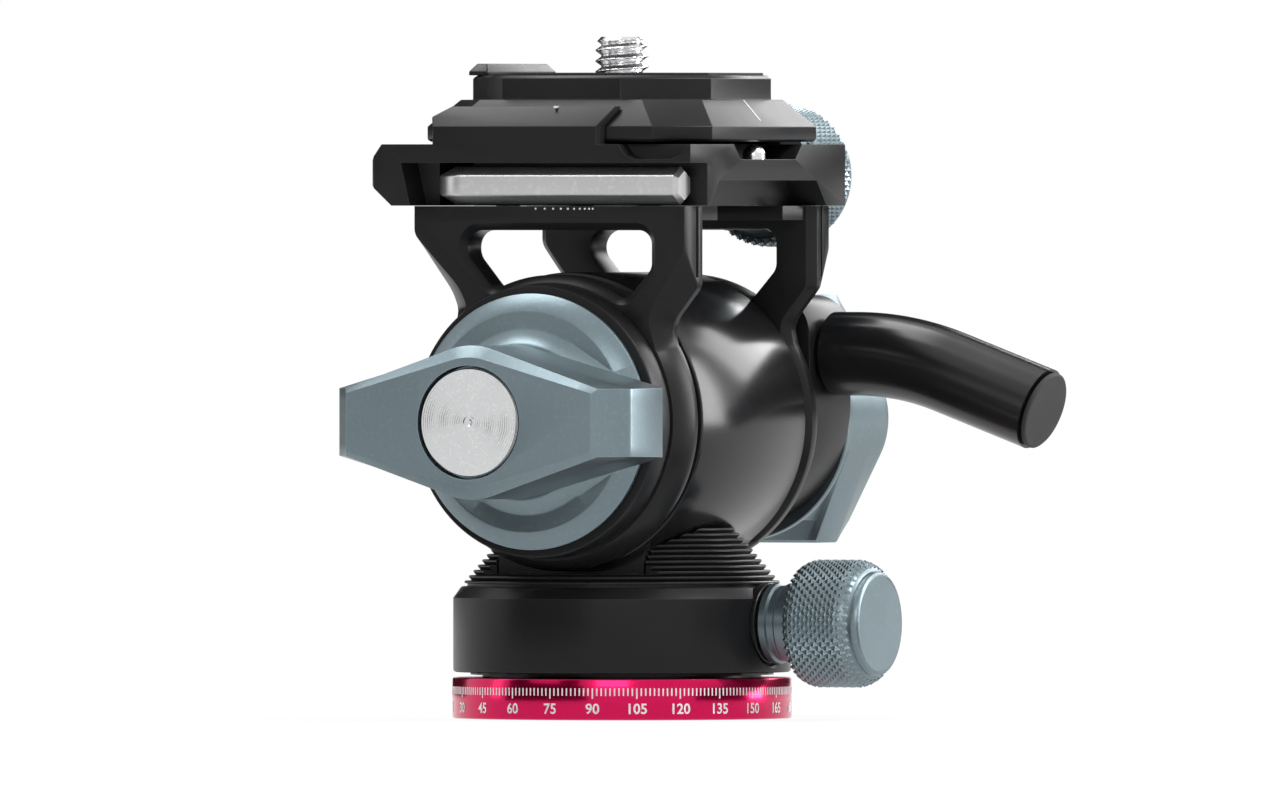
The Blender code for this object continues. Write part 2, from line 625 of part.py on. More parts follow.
def tilt_housing(finish, carrier):
    """The fluid drum with its neck, bored for the shaft, the fluid cartridge and the spindle nut."""
    near = -DRUM_HALF_LENGTH
    wall_end = near + DRUM_NEAR_WALL
    small_bore = BEARING_RADIUS + GAP
    edge = DRUM_RADIUS - EDGE_BREAK
    profile = [(small_bore, near), (edge, near), (DRUM_RADIUS, near + EDGE_BREAK)]
    profile += [(DRUM_RADIUS, -near - EDGE_BREAK), (edge, -near), (DRUM_BORE, -near)]
    profile += [(DRUM_BORE, wall_end), (small_bore, wall_end)]
    drum = turned("Y", profile, TILT_CENTRE, BIG_SIDES)
    housing = add("tilt_housing", drum, finish, carrier)
    join(housing, prism("Y", neck_outline(), -NECK_HALF_LENGTH, NECK_HALF_LENGTH))
    recess_top = SPINDLE_TOP + GAP
    cut(housing, rod("Z", BUSHING_RADIUS + GAP, WEB_TOP - OVERRUN, recess_top, sides=ROUND_SIDES))
    for x, y in neck_screw_places():
        hole = rod("Z", NECK_SCREW_RADIUS + BOLT_FIT, WEB_TOP - OVERRUN, WEB_TOP + NECK_SCREW_DEPTH + GAP,
                   (x, y, 0))
        cut(housing, hole)
    return housing


def neck_screws(finish, carrier):
    head_top = WEB_BOTTOM - GAP
    head_bottom = head_top - NECK_SCREW_HEAD_HEIGHT
    tip = WEB_TOP + NECK_SCREW_DEPTH
    for index, (x, y) in enumerate(neck_screw_places()):
        profile = [(0, head_bottom), (NECK_SCREW_HEAD_RADIUS, head_bottom)]
        profile += [(NECK_SCREW_HEAD_RADIUS, head_top), (NECK_SCREW_RADIUS, head_top)]
        profile += [(NECK_SCREW_RADIUS, tip), (0, tip)]
        add(f"neck_screw_{index + 1}", turned("Z", profile, (x, y, 0), SMALL_SIDES), finish, carrier)


def bearings_and_seals(bronze, rubber, carrier):
    """A bush and a seal ring at each end of the drum."""
    bore = SHAFT_RADIUS + RUNNING_FIT
    bearing_inner = DRUM_HALF_LENGTH - DRUM_NEAR_WALL
    seal_inner = bearing_inner + BEARING_LENGTH + GAP
    for side, name in ((-1, "near"), (1, "far")):
        bearing = tube("Y", bore, BEARING_RADIUS, side * bearing_inner,
                       side * (bearing_inner + BEARING_LENGTH), TILT_CENTRE)
        add(f"tilt_bearing_{name}", bearing, bronze, carrier)
        seal = tube("Y", bore, BEARING_RADIUS, side * seal_inner, side * (seal_inner + SEAL_LENGTH),
                    TILT_CENTRE)
        add(f"tilt_seal_{name}", seal, rubber, carrier)


def fluid_cartridge(finish, carrier):
    """The still sleeve round the rotor, and the cover that closes the drum."""
    low = DRUM_NEAR_WALL - DRUM_HALF_LENGTH + GAP
    cover_inner = DRUM_HALF_LENGTH - DRUM_NEAR_WALL - GAP
    sleeve = tube("Y", COVER_RADIUS - CARTRIDGE_WALL, COVER_RADIUS, low, cover_inner - GAP, TILT_CENTRE)
    add("damping_sleeve", sleeve, finish, carrier)
    cover = tube("Y", BEARING_RADIUS + GAP, COVER_RADIUS, cover_inner, DRUM_HALF_LENGTH, TILT_CENTRE)
    add("drum_cover", cover, finish, carrier)


def damping_rotor(finish, carrier):
    """The grooved drum that shears the fluid."""
    radius = COVER_RADIUS - CARTRIDGE_WALL - FLUID_GAP
    root = radius - ROTOR_GROOVE_DEPTH
    step = 2 * ROTOR_HALF_LENGTH / (2 * ROTOR_GROOVES + 1)
    outer = []
    for i in range(2 * ROTOR_GROOVES + 1):
        low = -ROTOR_HALF_LENGTH + step * i
        here = root if i % 2 else radius
        outer += [(here, low), (here, low + step)]
    bore = SHAFT_RADIUS + GAP
    profile = [(bore, -ROTOR_HALF_LENGTH)] + outer + [(bore, ROTOR_HALF_LENGTH)]
    return add("damping_rotor", turned("Y", profile, TILT_CENTRE), finish, carrier)


def tilt_shaft(finish, carrier):
    """The shaft through the drum, bored at both ends for the knob studs."""
    bore = STUD_RADIUS + GAP
    blind = SHAFT_HALF_LENGTH - SHAFT_BORE_DEPTH
    half = [(0, -blind), (bore, -blind), (bore, -SHAFT_HALF_LENGTH), (SHAFT_RADIUS, -SHAFT_HALF_LENGTH)]
    profile = half + [(radius, -along) for radius, along in reversed(half)]
    return add("tilt_shaft", turned("Y", profile, TILT_CENTRE, SMALL_SIDES), finish, carrier)


def hip(side, half, drop, waist_shares):
    """One side of a yoke plate, from its top corner down to its waist."""
    shoulder = PLATE_TOP - drop
    waist = (PLATE_RING_RADIUS * waist_shares[0], TILT_AXIS_HEIGHT + PLATE_RING_RADIUS * waist_shares[1])
    points = [(half, PLATE_TOP), (half, shoulder)]
    for across, down in HIP_CURVE_shares:
        points.append((half - (half - waist[0]) * across, shoulder - (shoulder - waist[1]) * down))
    return [(side * x, z) for x, z in points + [waist]]


def plate_outline(half, radius, drops, waists):
    """A yoke plate's outline, down its right side, round its ring and up its left side."""
    start = math.degrees(math.acos(RIGHT_WAIST_shares[0]))
    end = -180 - math.degrees(math.acos(LEFT_WAIST_shares[0]))
    ring = arc((0, TILT_AXIS_HEIGHT), radius, start, end, BIG_SIDES * 3 // 4)
    return hip(1, half, drops[0], waists[0]) + ring + hip(-1, half, drops[1], waists[1])[::-1]


def window_outline(grow):
    """The window's outline, up to its rounds and down to the ring it leaves free."""
    top = WINDOW_TOP + grow
    radius = WINDOW_ARC_RADIUS - grow
    left, right = WINDOW_LEFT_ROUND + grow, WINDOW_RIGHT_ROUND + grow
    left_valley, right_valley = WINDOW_LEFT_VALLEY_ROUND + grow, WINDOW_RIGHT_VALLEY_ROUND + grow
    left_tilt = math.degrees(math.asin(WINDOW_LEFT_VALLEY / (radius + left_valley)))
    right_tilt = math.degrees(math.asin(WINDOW_RIGHT_VALLEY / (radius + right_valley)))
    centre = (0, TILT_AXIS_HEIGHT)
    slope = WINDOW_SLOPE_degrees
    sides = SMALL_SIDES // 8
    valley_z = centre[1] + (radius + left_valley) * math.cos(math.radians(left_tilt))
    corner = (left - WINDOW_LEFT - grow, top - left)
    points = arc(corner, left, 90, 180 + slope, SMALL_SIDES // 4)
    points += arc((-WINDOW_LEFT_VALLEY, valley_z), left_valley, 180 + slope, 270 + left_tilt, sides)
    points += arc(centre, radius, 90 + left_tilt, 90 - right_tilt, SMALL_SIDES // 2)[1:-1]
    valley_z = centre[1] + (radius + right_valley) * math.cos(math.radians(right_tilt))
    points += arc((WINDOW_RIGHT_VALLEY, valley_z), right_valley, 270 - right_tilt, 360 - slope, sides)
    corner = (WINDOW_RIGHT + grow - right, top - right)
    points += arc((corner[0], corner[1] - WINDOW_RIGHT_SIDE), right, -slope, 0, sides)
    return points + arc(corner, right, 0, 90, SMALL_SIDES // 4)


def side_plate(name, side, finish, carrier):
    """A yoke plate: a ring round the shaft, a waist, hips and a windowed upper part."""
    edge = plate_outline(PLATE_HALF_WIDTH, PLATE_RING_RADIUS, (RIGHT_SHOULDER_DROP, LEFT_SHOULDER_DROP),
                         (RIGHT_WAIST_shares, LEFT_WAIST_shares))
    face = plate_outline(PLATE_HALF_WIDTH - FACE_INSET, PLATE_RING_RADIUS - RING_BEVEL,
                         (FACE_RIGHT_SHOULDER_DROP, FACE_LEFT_SHOULDER_DROP),
                         (FACE_RIGHT_WAIST_shares, FACE_LEFT_WAIST_shares))
    inner = [(x - math.copysign(PLATE_INNER_BEVEL, x) if x else x, z) for x, z in edge]
    layers = [(side * PLATE_INNER, inner), (side * (PLATE_INNER + PLATE_INNER_BEVEL), edge)]
    layers += [(side * (PLATE_OUTER - FACET_DEPTH), edge), (side * PLATE_OUTER, face)]
    plate = add(name, layered("Y", layers), finish, carrier)
    foot_x = PLATE_HALF_WIDTH - PLATE_INNER_BEVEL - GAP
    foot_low, foot_high = sorted((side * (PLATE_INNER + OVERRUN), side * (PLATE_INNER - FOOT_REACH)))
    join(plate, box((-foot_x, foot_x), (foot_low, foot_high), (FOOT_BOTTOM, PLATE_TOP)))
    window = [(side * (PLATE_INNER - OVERRUN), window_outline(WINDOW_BEVEL))]
    window += [(side * (PLATE_INNER + WINDOW_BEVEL), window_outline(0))]
    window += [(side * (PLATE_OUTER - WINDOW_BEVEL), window_outline(0))]
    window += [(side * (PLATE_OUTER + GAP), window_outline(WINDOW_BEVEL + GAP))]
    reach = PLATE_OUTER + OVERRUN
    low, high = sorted((side * (PLATE_INNER - OVERRUN), side * reach))
    shaft_hole = rod("Y", SHAFT_RADIUS + GAP, low, high, TILT_CENTRE)
    cut(plate, layered("Y", window), shaft_hole)
    for x, y in yoke_screw_places():
        if y * side > 0:
            place = (x, y, 0)
            hole = rod("Z", YOKE_SCREW_RADIUS + BOLT_FIT, FOOT_BOTTOM - OVERRUN, PLATE_TOP + OVERRUN, place)
            cut(plate, hole)
    return plate


def tilt_lock(black, friction, carrier):
    """The ring on the near plate and the brake disc inside it."""
    outer = -HUB_RING_FACE
    inner = -PLATE_OUTER - GAP
    edge = HUB_RING_RADIUS - EDGE_BREAK
    profile = [(HUB_RING_BORE, inner), (HUB_RING_RADIUS, inner), (HUB_RING_RADIUS, outer + EDGE_BREAK)]
    profile += [(edge, outer), (HUB_RING_BORE, outer)]
    add("tilt_hub_ring", turned("Y", profile, TILT_CENTRE, BIG_SIDES), black, carrier)
    disc = tube("Y", BRAKE_DISC_BORE, HUB_RING_BORE - GAP, outer + GAP, inner, TILT_CENTRE)
    add("tilt_brake_disc", disc, friction, carrier)


def wing_outline(hub, reach, tip_half, sides):
    """A wing bar seen from its front: a round hub with straight flanks to two square tips."""
    distance = math.hypot(reach, tip_half)
    lean = math.degrees(math.asin(min(hub / distance, 1)) - math.atan2(tip_half, reach))
    right = [(reach, -tip_half), (reach, tip_half)]
    upper = arc((0, 0), hub, 90 - lean, 90 + lean, sides)
    return right + upper + [(-x, -z) for x, z in right + upper]


def wing_knob(name, side, sizes, upright, finish, carrier):
    """A wing knob: a disc with a chamfered rim and a bar with rolled tips."""
    back, length, disc_radius, reach, hub, tip_back_share = sizes
    front = back + length
    sides = SMALL_SIDES // 2
    face = back + KNOB_RIM + KNOB_RIM_CHAMFER_DEPTH
    bore = STUD_RADIUS + GAP
    bore_end = back + STUD_INTO_KNOB + GAP
    disc = [(0, back), (disc_radius, back), (disc_radius, back + KNOB_RIM)]
    disc += [(disc_radius - KNOB_RIM_CHAMFER_WIDTH, face), (0, face)]
    disc = [(radius, side * along) for radius, along in disc]
    knob = add(name, turned("Y", disc, TILT_CENTRE, BIG_SIDES), finish, carrier)

    tip_back = back + length * tip_back_share
    chamfer = KNOB_FACE_CHAMFER
    shoulder = hub + chamfer
    waist_reach = disc_radius - KNOB_RIM_CHAMFER_WIDTH - GAP
    tip = KNOB_TIP_HALF_WIDTH
    roll_low = front - KNOB_TIP_ROLL_DEPTH
    roll_mid = front - KNOB_TIP_ROLL_DEPTH / 3
    rows = [(face - KNOB_RIM, shoulder + chamfer, min(waist_reach, reach), tip + chamfer)]
    rows += [(tip_back - GAP, shoulder, min(waist_reach, reach) - GAP, tip + chamfer / 2)]
    rows += [(tip_back, shoulder, reach, tip + chamfer / 2)]
    rows += [(roll_low, shoulder, reach, tip + chamfer / 3)]
    rows += [(roll_mid, shoulder, reach - KNOB_TIP_ROLL / 3, tip + chamfer / 3)]
    rows += [(front - chamfer / 2, hub + chamfer / 2, reach - 3 * KNOB_TIP_ROLL / 4, tip)]
    rows += [(front, hub, reach - KNOB_TIP_ROLL, tip)]
    layers = []
    for along, hub_here, reach_here, tip_here in rows:
        outline = wing_outline(hub_here, reach_here, tip_here, sides)
        if upright:
            outline = [(-z, x) for x, z in outline]
        layers.append((side * along, [(x, z + TILT_AXIS_HEIGHT) for x, z in outline]))
    join(knob, layered("Y", layers))
    cap_floor = front - CAP_SINK - CAP_THICKNESS - GAP
    recess = sorted((side * cap_floor, side * (front + OVERRUN)))
    hole = sorted((side * (back - OVERRUN), side * bore_end))
    pocket = rod("Y", CAP_RADIUS + GAP, *recess, TILT_CENTRE, ROUND_SIDES)
    return cut(knob, pocket, rod("Y", bore, *hole, TILT_CENTRE))


def knob_cap(name, side, front, finish, carrier):
    """The silver disc let into a wing knob's face, with a small dimple in its middle."""
    top = front - CAP_SINK
    low = top - CAP_THICKNESS
    dimple = CAP_RADIUS / 12
    profile = [(0, low), (CAP_RADIUS, low), (CAP_RADIUS, top - EDGE_BREAK / 2)]
    profile += [(CAP_RADIUS - EDGE_BREAK / 2, top), (dimple, top), (0, top - EDGE_BREAK / 2)]
    profile = [(radius, side * along) for radius, along in profile]
    return add(name, turned("Y", profile, TILT_CENTRE), finish, carrier)


def knob_stud(name, side, back, finish, carrier):
    inner = SHAFT_HALF_LENGTH - SHAFT_BORE_DEPTH + GAP
    span = sorted((side * inner, side * (back + STUD_INTO_KNOB)))
    stud = chamfered_rod("Y", STUD_RADIUS, *span, EDGE_BREAK, TILT_CENTRE)
    return add(name, stud, finish, carrier)


def block_outline():
    """The handle block seen along Y: round below, square with round corners above."""
    half = HANDLE_BLOCK_HALF_WIDTH
    corner = HANDLE_BLOCK_CORNER
    steps = SMALL_SIDES // 4
    top = HANDLE_BLOCK_TOP - corner
    points = arc((0, HANDLE_BLOCK_CENTRE_HEIGHT), half, 180, 360, BIG_SIDES // 2)
    points += arc((half - corner, top), corner, 0, 90, steps)
    points += arc((corner - half, top), corner, 90, 180, steps)
    return points


def handle_block(finish, carrier):
    """The block on the far plate that holds the handle."""
    outline = block_outline()
    block = add("handle_block", prism("Y", outline, BLOCK_INNER, BLOCK_OUTER), finish, carrier)
    centre = (0, HANDLE_TUBE_Y, HANDLE_TUBE_HEIGHT)
    right = HANDLE_BLOCK_HALF_WIDTH
    socket_end = right - HANDLE_SPIGOT_LENGTH - GAP
    socket = rod("X", HANDLE_SPIGOT_RADIUS + GAP, socket_end, right + OVERRUN, centre)
    stud_hole = rod("Y", STUD_RADIUS + GAP, BLOCK_INNER - OVERRUN, BLOCK_OUTER + OVERRUN, TILT_CENTRE)
    return cut(block, socket, stud_hole)


def handle_path():
    """Middle line of the handle tube as (place, direction) pairs."""
    start = HANDLE_BLOCK_HALF_WIDTH + GAP
    level = HANDLE_TUBE_HEIGHT
    stations = [(Vector((start, HANDLE_TUBE_Y, level)), 0)]
    stations.append((Vector((HANDLE_BEND_START, HANDLE_TUBE_Y, level)), 0))
    bend_steps = SMALL_SIDES // 2
    for i in range(1, bend_steps + 1):
        angle = HANDLE_BEND_ANGLE * i / bend_steps
        across = HANDLE_BEND_START + HANDLE_BEND_RADIUS * math.sin(angle)
        drop = HANDLE_BEND_RADIUS * (1 - math.cos(angle))
        stations.append((Vector((across, HANDLE_TUBE_Y, level - drop)), angle))
    last = stations[-1][0]
    run = Vector((math.cos(HANDLE_BEND_ANGLE), 0, -math.sin(HANDLE_BEND_ANGLE)))
    stations.append((last + run * HANDLE_STRAIGHT, HANDLE_BEND_ANGLE))
    return stations


def swept(stations, radius, sides):
    """A round bar through stations that turn in the XZ plane."""
    mesh_data = bmesh.new()
    rings = []
    for place, angle in stations:
        up = Vector((math.sin(angle), 0, math.cos(angle)))
        ring = []
        for i in range(sides):
            turn = math.tau * i / sides
            offset = Vector((0, radius * math.cos(turn), 0)) + up * radius * math.sin(turn)
            ring.append(mesh_data.verts.new(place + offset))
        rings.append(ring)
    for lower, upper in zip(rings, rings[1:]):
        for i in range(sides):
            j = (i + 1) % sides
            mesh_data.faces.new((lower[i], lower[j], upper[j], upper[i]))
    mesh_data.faces.new(rings[0])
    mesh_data.faces.new(rings[-1])
    return mesh_data


def handle_tube(finish, carrier):
    """The bent handle tube with its spigot and the bore in its free end."""
    path = handle_path()
    handle = add("handle_tube", swept(path, HANDLE_TUBE_RADIUS, ROUND_SIDES), finish, carrier)
    centre = (0, HANDLE_TUBE_Y, HANDLE_TUBE_HEIGHT)
    right = HANDLE_BLOCK_HALF_WIDTH
    spigot = rod("X", HANDLE_SPIGOT_RADIUS, right - HANDLE_SPIGOT_LENGTH, right + OVERRUN, centre)
    end, angle = path[-1]
    run = Vector((math.cos(angle), 0, -math.sin(angle)))
    hollow = [(end - run * HANDLE_BORE_DEPTH, angle), (end + run * OVERRUN, angle)]
    bore = swept(hollow, HANDLE_BORE, SMALL_SIDES)
    join(handle, spigot)
    cut(handle, bore)
    return handle


def handle_plug(finish, carrier):
    """The plug that closes the tube's free end."""
    end, angle = handle_path()[-1]
    run = Vector((math.cos(angle), 0, -math.sin(angle)))
    inner = end - run * (HANDLE_BORE_DEPTH - GAP)
    stem = swept([(inner, angle), (end + run * GAP * 2, angle)], HANDLE_BORE - GAP, SMALL_SIDES)
    plug = add("handle_end_plug", stem, finish, carrier)
    head_low = end + run * GAP
    head = swept([(head_low, angle), (head_low + run * HANDLE_PLUG_HEAD, angle)],
                 HANDLE_TUBE_RADIUS - EDGE_BREAK, SMALL_SIDES)
    return join(plug, head)


def jaw_profile(side):
    """The upper jaw in section, (Y, Z), from its foot round its hook to the plate's flange."""
    outer = CLAMP_HALF_WIDTH
    outer_top = outer - (JAW_TOP - JAW_FACE_TOP)
    lip = outer_top - JAW_LAND
    points = [(outer, JAW_FACE_TOP), (outer_top, JAW_TOP), (lip, JAW_TOP)]
    points += [(JAW_SEAT, JAW_FACE_TOP + GAP / 3)]
    return [(side * y, z) for y, z in points]


def trim_jaw_ends(jaw, side, left, right):
    """Slant a jaw's two ends in plan, from its seat out to its face."""
    reach = CLAMP_HALF_WIDTH + OVERRUN
    inset = JAW_END_CHAMFER
    for end, sign in ((left, -1), (right, 1)):
        outline = [(end - sign * inset, side * reach), (end + sign * OVERRUN, side * reach)]
        outline += [(end + sign * OVERRUN, side * (CLAMP_HALF_WIDTH - inset))]
        outline += [(end, side * (CLAMP_HALF_WIDTH - inset))]
        cut(jaw, prism("Z", outline, CLAMP_TOP, JAW_TOP + OVERRUN))


def clamp_outline():
    """The clamp body seen along Y, with a pointed nose at its left."""
    left = -CLAMP_LEFT
    points = [(left + CLAMP_NOSE_UNDER, CLAMP_BOTTOM), (CLAMP_RIGHT, CLAMP_BOTTOM), (CLAMP_RIGHT, CLAMP_TOP)]
    points += [(left + CLAMP_NOSE_BACK, CLAMP_TOP), (left, CLAMP_NOSE_TOP), (left, CLAMP_NOSE_BOTTOM)]
    return points


def clamp_body(finish, carrier):
    """The clamp's body with its fixed jaw, key slot, scoops and bores."""
    half = CLAMP_HALF_WIDTH
    clamp = add("clamp_body", prism("Y", clamp_outline(), -half, half), finish, carrier)
    jaw = [(-half, CLAMP_TOP - OVERRUN)] + jaw_profile(-1) + [(-JAW_SEAT, CLAMP_TOP - OVERRUN)]
    jaw_solid = add("fixed_jaw_shape", prism("X", jaw, -JAW_LEFT, JAW_RIGHT), None, carrier)
    jaw_solid.hide_render = True
    jaw_solid.display_type = "WIRE"
    trim_jaw_ends(jaw_solid, -1, -JAW_LEFT, JAW_RIGHT)
    joined = clamp.modifiers.new("fixed_jaw", "BOOLEAN")
    joined.operation = "UNION"
    joined.solver = "EXACT"
    joined.object = jaw_solid
    cut(clamp, *clamp_corner_cuts(), *key_slots(), *clamp_scoops(), *clamp_bores())
    return clamp


def clamp_corner_cuts():
    """Chamfers down the two left corners."""
    cuts = []
    left = -CLAMP_LEFT
    for side in (-1, 1):
        near = side * (CLAMP_HALF_WIDTH + OVERRUN)
        outline = [(left - OVERRUN, near), (left + CLAMP_CORNER + OVERRUN, near)]
        outline += [(left - OVERRUN, side * (CLAMP_HALF_WIDTH - CLAMP_CORNER - OVERRUN))]
        cuts.append(prism("Z", outline, CLAMP_BOTTOM - OVERRUN, CLAMP_TOP + OVERRUN))
    return cuts


def key_slots():
    """The slot for the key's long leg, open below and to the right, and one for its short leg."""
    left = -KEY_SLOT_LEFT
    slot = [(left + KEY_SLOT_LEAN, CLAMP_BOTTOM - OVERRUN), (CLAMP_RIGHT + OVERRUN, CLAMP_BOTTOM - OVERRUN)]
    slot += [(CLAMP_RIGHT + OVERRUN, KEY_SLOT_TOP), (left, KEY_SLOT_TOP)]
    long_slot = prism("Y", slot, -CLAMP_HALF_WIDTH - OVERRUN, KEY_SLOT_BACK)
    short_x = (-KEY_LEFT - KEY_ACROSS_FLATS / 2 - GAP, -KEY_LEFT + KEY_ACROSS_FLATS / 2 + GAP)
    short_y = (KEY_SLOT_BACK - OVERRUN, KEY_Y + KEY_SHORT_LEG + GAP)
    short_slot = box(short_x, short_y, (CLAMP_BOTTOM - OVERRUN, KEY_SLOT_TOP))
    return [long_slot, short_slot]


def clamp_scoops():
    """The hollows in the right end, the far side's rebate and the near corner's scoop."""
    right = CLAMP_RIGHT
    top = CLAMP_TOP
    upper = [(-SCOOP_HALF_WIDTH, top + OVERRUN), (-SCOOP_HALF_WIDTH, top)]
    upper += [(-SCOOP_HALF_WIDTH + SCOOP_TOP_DEPTH, top - SCOOP_TOP_DEPTH)]
    upper += [(SCOOP_HALF_WIDTH - SCOOP_TOP_DEPTH, top - SCOOP_TOP_DEPTH)]
    upper += [(SCOOP_HALF_WIDTH, top), (SCOOP_HALF_WIDTH, top + OVERRUN)]
    under = [(-UNDERCUT_HALF_WIDTH - SCOOP_TOP_DEPTH, CLAMP_BOTTOM - OVERRUN)]
    under += [(-UNDERCUT_HALF_WIDTH - SCOOP_TOP_DEPTH, CLAMP_BOTTOM)]
    under += [(-UNDERCUT_HALF_WIDTH, UNDERCUT_TOP), (UNDERCUT_HALF_WIDTH, UNDERCUT_TOP)]
    under += [(UNDERCUT_HALF_WIDTH + SCOOP_TOP_DEPTH, CLAMP_BOTTOM)]
    under += [(UNDERCUT_HALF_WIDTH + SCOOP_TOP_DEPTH, CLAMP_BOTTOM - OVERRUN)]
    rebate_y = (CLAMP_HALF_WIDTH - MOVING_JAW_THICKNESS - GAP, CLAMP_HALF_WIDTH + OVERRUN)
    rebate = box((-JAW_LEFT - GAP, MOVING_JAW_RIGHT + GAP), rebate_y,
                 (CLAMP_BOTTOM - OVERRUN, CLAMP_TOP + OVERRUN))
    near = -CLAMP_HALF_WIDTH
    corner = [(CORNER_SCOOP_LEFT, top + OVERRUN), (CORNER_SCOOP_LEFT, top)]
    corner += [(CORNER_SCOOP_LEFT + CORNER_SCOOP_DEPTH, top - CORNER_SCOOP_DEPTH)]
    corner += [(right - CORNER_SCOOP_DEPTH, top - CORNER_SCOOP_DEPTH), (right - EDGE_BREAK, top)]
    corner += [(right - EDGE_BREAK, top + OVERRUN)]
    scoop = prism("Y", corner, near - OVERRUN, near + CORNER_SCOOP_WIDTH)
    return [prism("X", upper, right - SCOOP_DEPTH, right + OVERRUN),
            prism("X", under, right - UNDERCUT_DEPTH, right + OVERRUN), rebate, scoop]


def clamp_bores():
    """Bores for the four yoke screws, the clamp stud, the safety pin and the key's magnet."""
    bores = []
    head_floor = CLAMP_TOP - YOKE_SCREW_HEAD_HEIGHT - 2 * GAP
    for x, y in yoke_screw_places():
        bores.append(rod("Z", YOKE_SCREW_RADIUS + BOLT_FIT, CLAMP_BOTTOM - OVERRUN, CLAMP_TOP, (x, y, 0)))
        bores.append(rod("Z", YOKE_SCREW_HEAD_RADIUS + GAP, head_floor, CLAMP_TOP + OVERRUN, (x, y, 0)))
    jaw_inner = CLAMP_HALF_WIDTH - MOVING_JAW_THICKNESS
    stud_centre = (CLAMP_KNOB_X, 0, CLAMP_KNOB_HEIGHT)
    bores.append(rod("Y", CLAMP_STUD_RADIUS + GAP, jaw_inner - CLAMP_STUD_INTO_BODY - GAP,
                     jaw_inner + OVERRUN, stud_centre))
    bores.append(rod("Z", PIN_RADIUS + BOLT_FIT, PIN_HOLE_BOTTOM, CLAMP_TOP + OVERRUN, (PIN_X, 0, 0)))
    magnet_end = KEY_SLOT_BACK + MAGNET_LENGTH + GAP
    bores.append(rod("Y", MAGNET_RADIUS + BOLT_FIT, KEY_SLOT_BACK - OVERRUN, magnet_end,
                     (MAGNET_X, 0, KEY_HEIGHT), SMALL_SIDES // 2))
    return bores


def yoke_screw_places():
    rows = ((YOKE_SCREW_NEAR_X, -YOKE_SCREW_Y), (YOKE_SCREW_FAR_X, YOKE_SCREW_Y))
    return [(sign * x, y) for sign in (-1, 1) for x, y in rows]


def yoke_screws(finish, carrier):
    head_low = CLAMP_TOP - YOKE_SCREW_HEAD_HEIGHT - GAP
    head_high = CLAMP_TOP - GAP
    for index, (x, y) in enumerate(yoke_screw_places()):
        profile = [(0, FOOT_BOTTOM), (YOKE_SCREW_RADIUS, FOOT_BOTTOM), (YOKE_SCREW_RADIUS, head_low)]
        profile += [(YOKE_SCREW_HEAD_RADIUS, head_low), (YOKE_SCREW_HEAD_RADIUS, head_high), (0, head_high)]
        add(f"yoke_screw_{index + 1}", turned("Z", profile, (x, y, 0), SMALL_SIDES // 2), finish, carrier)


def clamp_jaw(finish, carrier):
    """The sliding jaw on the far side."""
    inner = CLAMP_HALF_WIDTH - MOVING_JAW_THICKNESS
    section = [(inner, CLAMP_BOTTOM), (CLAMP_HALF_WIDTH, CLAMP_BOTTOM)] + jaw_profile(1)
    section += [(JAW_SEAT, CLAMP_TOP), (inner, CLAMP_TOP)]
    jaw = add("clamp_jaw", prism("X", section, -JAW_LEFT, MOVING_JAW_RIGHT), finish, carrier)
    trim_jaw_ends(jaw, 1, -JAW_LEFT, MOVING_JAW_RIGHT)
    centre = (CLAMP_KNOB_X, 0, CLAMP_KNOB_HEIGHT)
    return cut(jaw, rod("Y", CLAMP_STUD_RADIUS + GAP, inner - OVERRUN, CLAMP_HALF_WIDTH + OVERRUN, centre))


def clamp_knob(finish, steel, carrier):
    """The round knob that draws the jaw in, with its stud."""
    centre = (CLAMP_KNOB_X, 0, CLAMP_KNOB_HEIGHT)
    start = CLAMP_KNOB_START
    end = start + CLAMP_KNOB_LENGTH
    neck_low = CLAMP_HALF_WIDTH + GAP
    bore = CLAMP_STUD_RADIUS + GAP
    bore_end = start + CLAMP_STUD_INTO_KNOB + GAP
    edge = KNOB_RIM
    profile = [(0, bore_end), (bore, bore_end), (bore, neck_low), (CLAMP_KNOB_NECK, neck_low)]
    profile += [(CLAMP_KNOB_NECK, start), (CLAMP_KNOB_RADIUS - edge, start + CLAMP_KNOB_CONE / 2)]
    profile += [(CLAMP_KNOB_RADIUS, start + CLAMP_KNOB_CONE), (CLAMP_KNOB_RADIUS, end - edge)]
    profile += [(CLAMP_KNOB_RADIUS - edge, end), (0, end)]
    add("clamp_knob", turned("Y", profile, centre), finish, carrier)
    jaw_inner = CLAMP_HALF_WIDTH - MOVING_JAW_THICKNESS
    stud_low = jaw_inner - CLAMP_STUD_INTO_BODY
    stud = chamfered_rod("Y", CLAMP_STUD_RADIUS, stud_low, bore_end - GAP, EDGE_BREAK, centre)
    add("clamp_stud", stud, steel, carrier)


def safety_pin(finish, carrier):
    """The domed pin that keeps the plate from sliding off."""
    top = PLATE_BOTTOM - GAP
    low = PIN_HOLE_BOTTOM + PIN_TRAVEL + PIN_SEAT
    dome = arc((0, top - PIN_RADIUS), PIN_RADIUS, 0, 90, 4)
    profile = [(0, low), (PIN_RADIUS, low)] + dome[:-1] + [(0, top)]
    return add("safety_pin", turned("Z", profile, (PIN_X, 0, 0), SMALL_SIDES), finish, carrier)


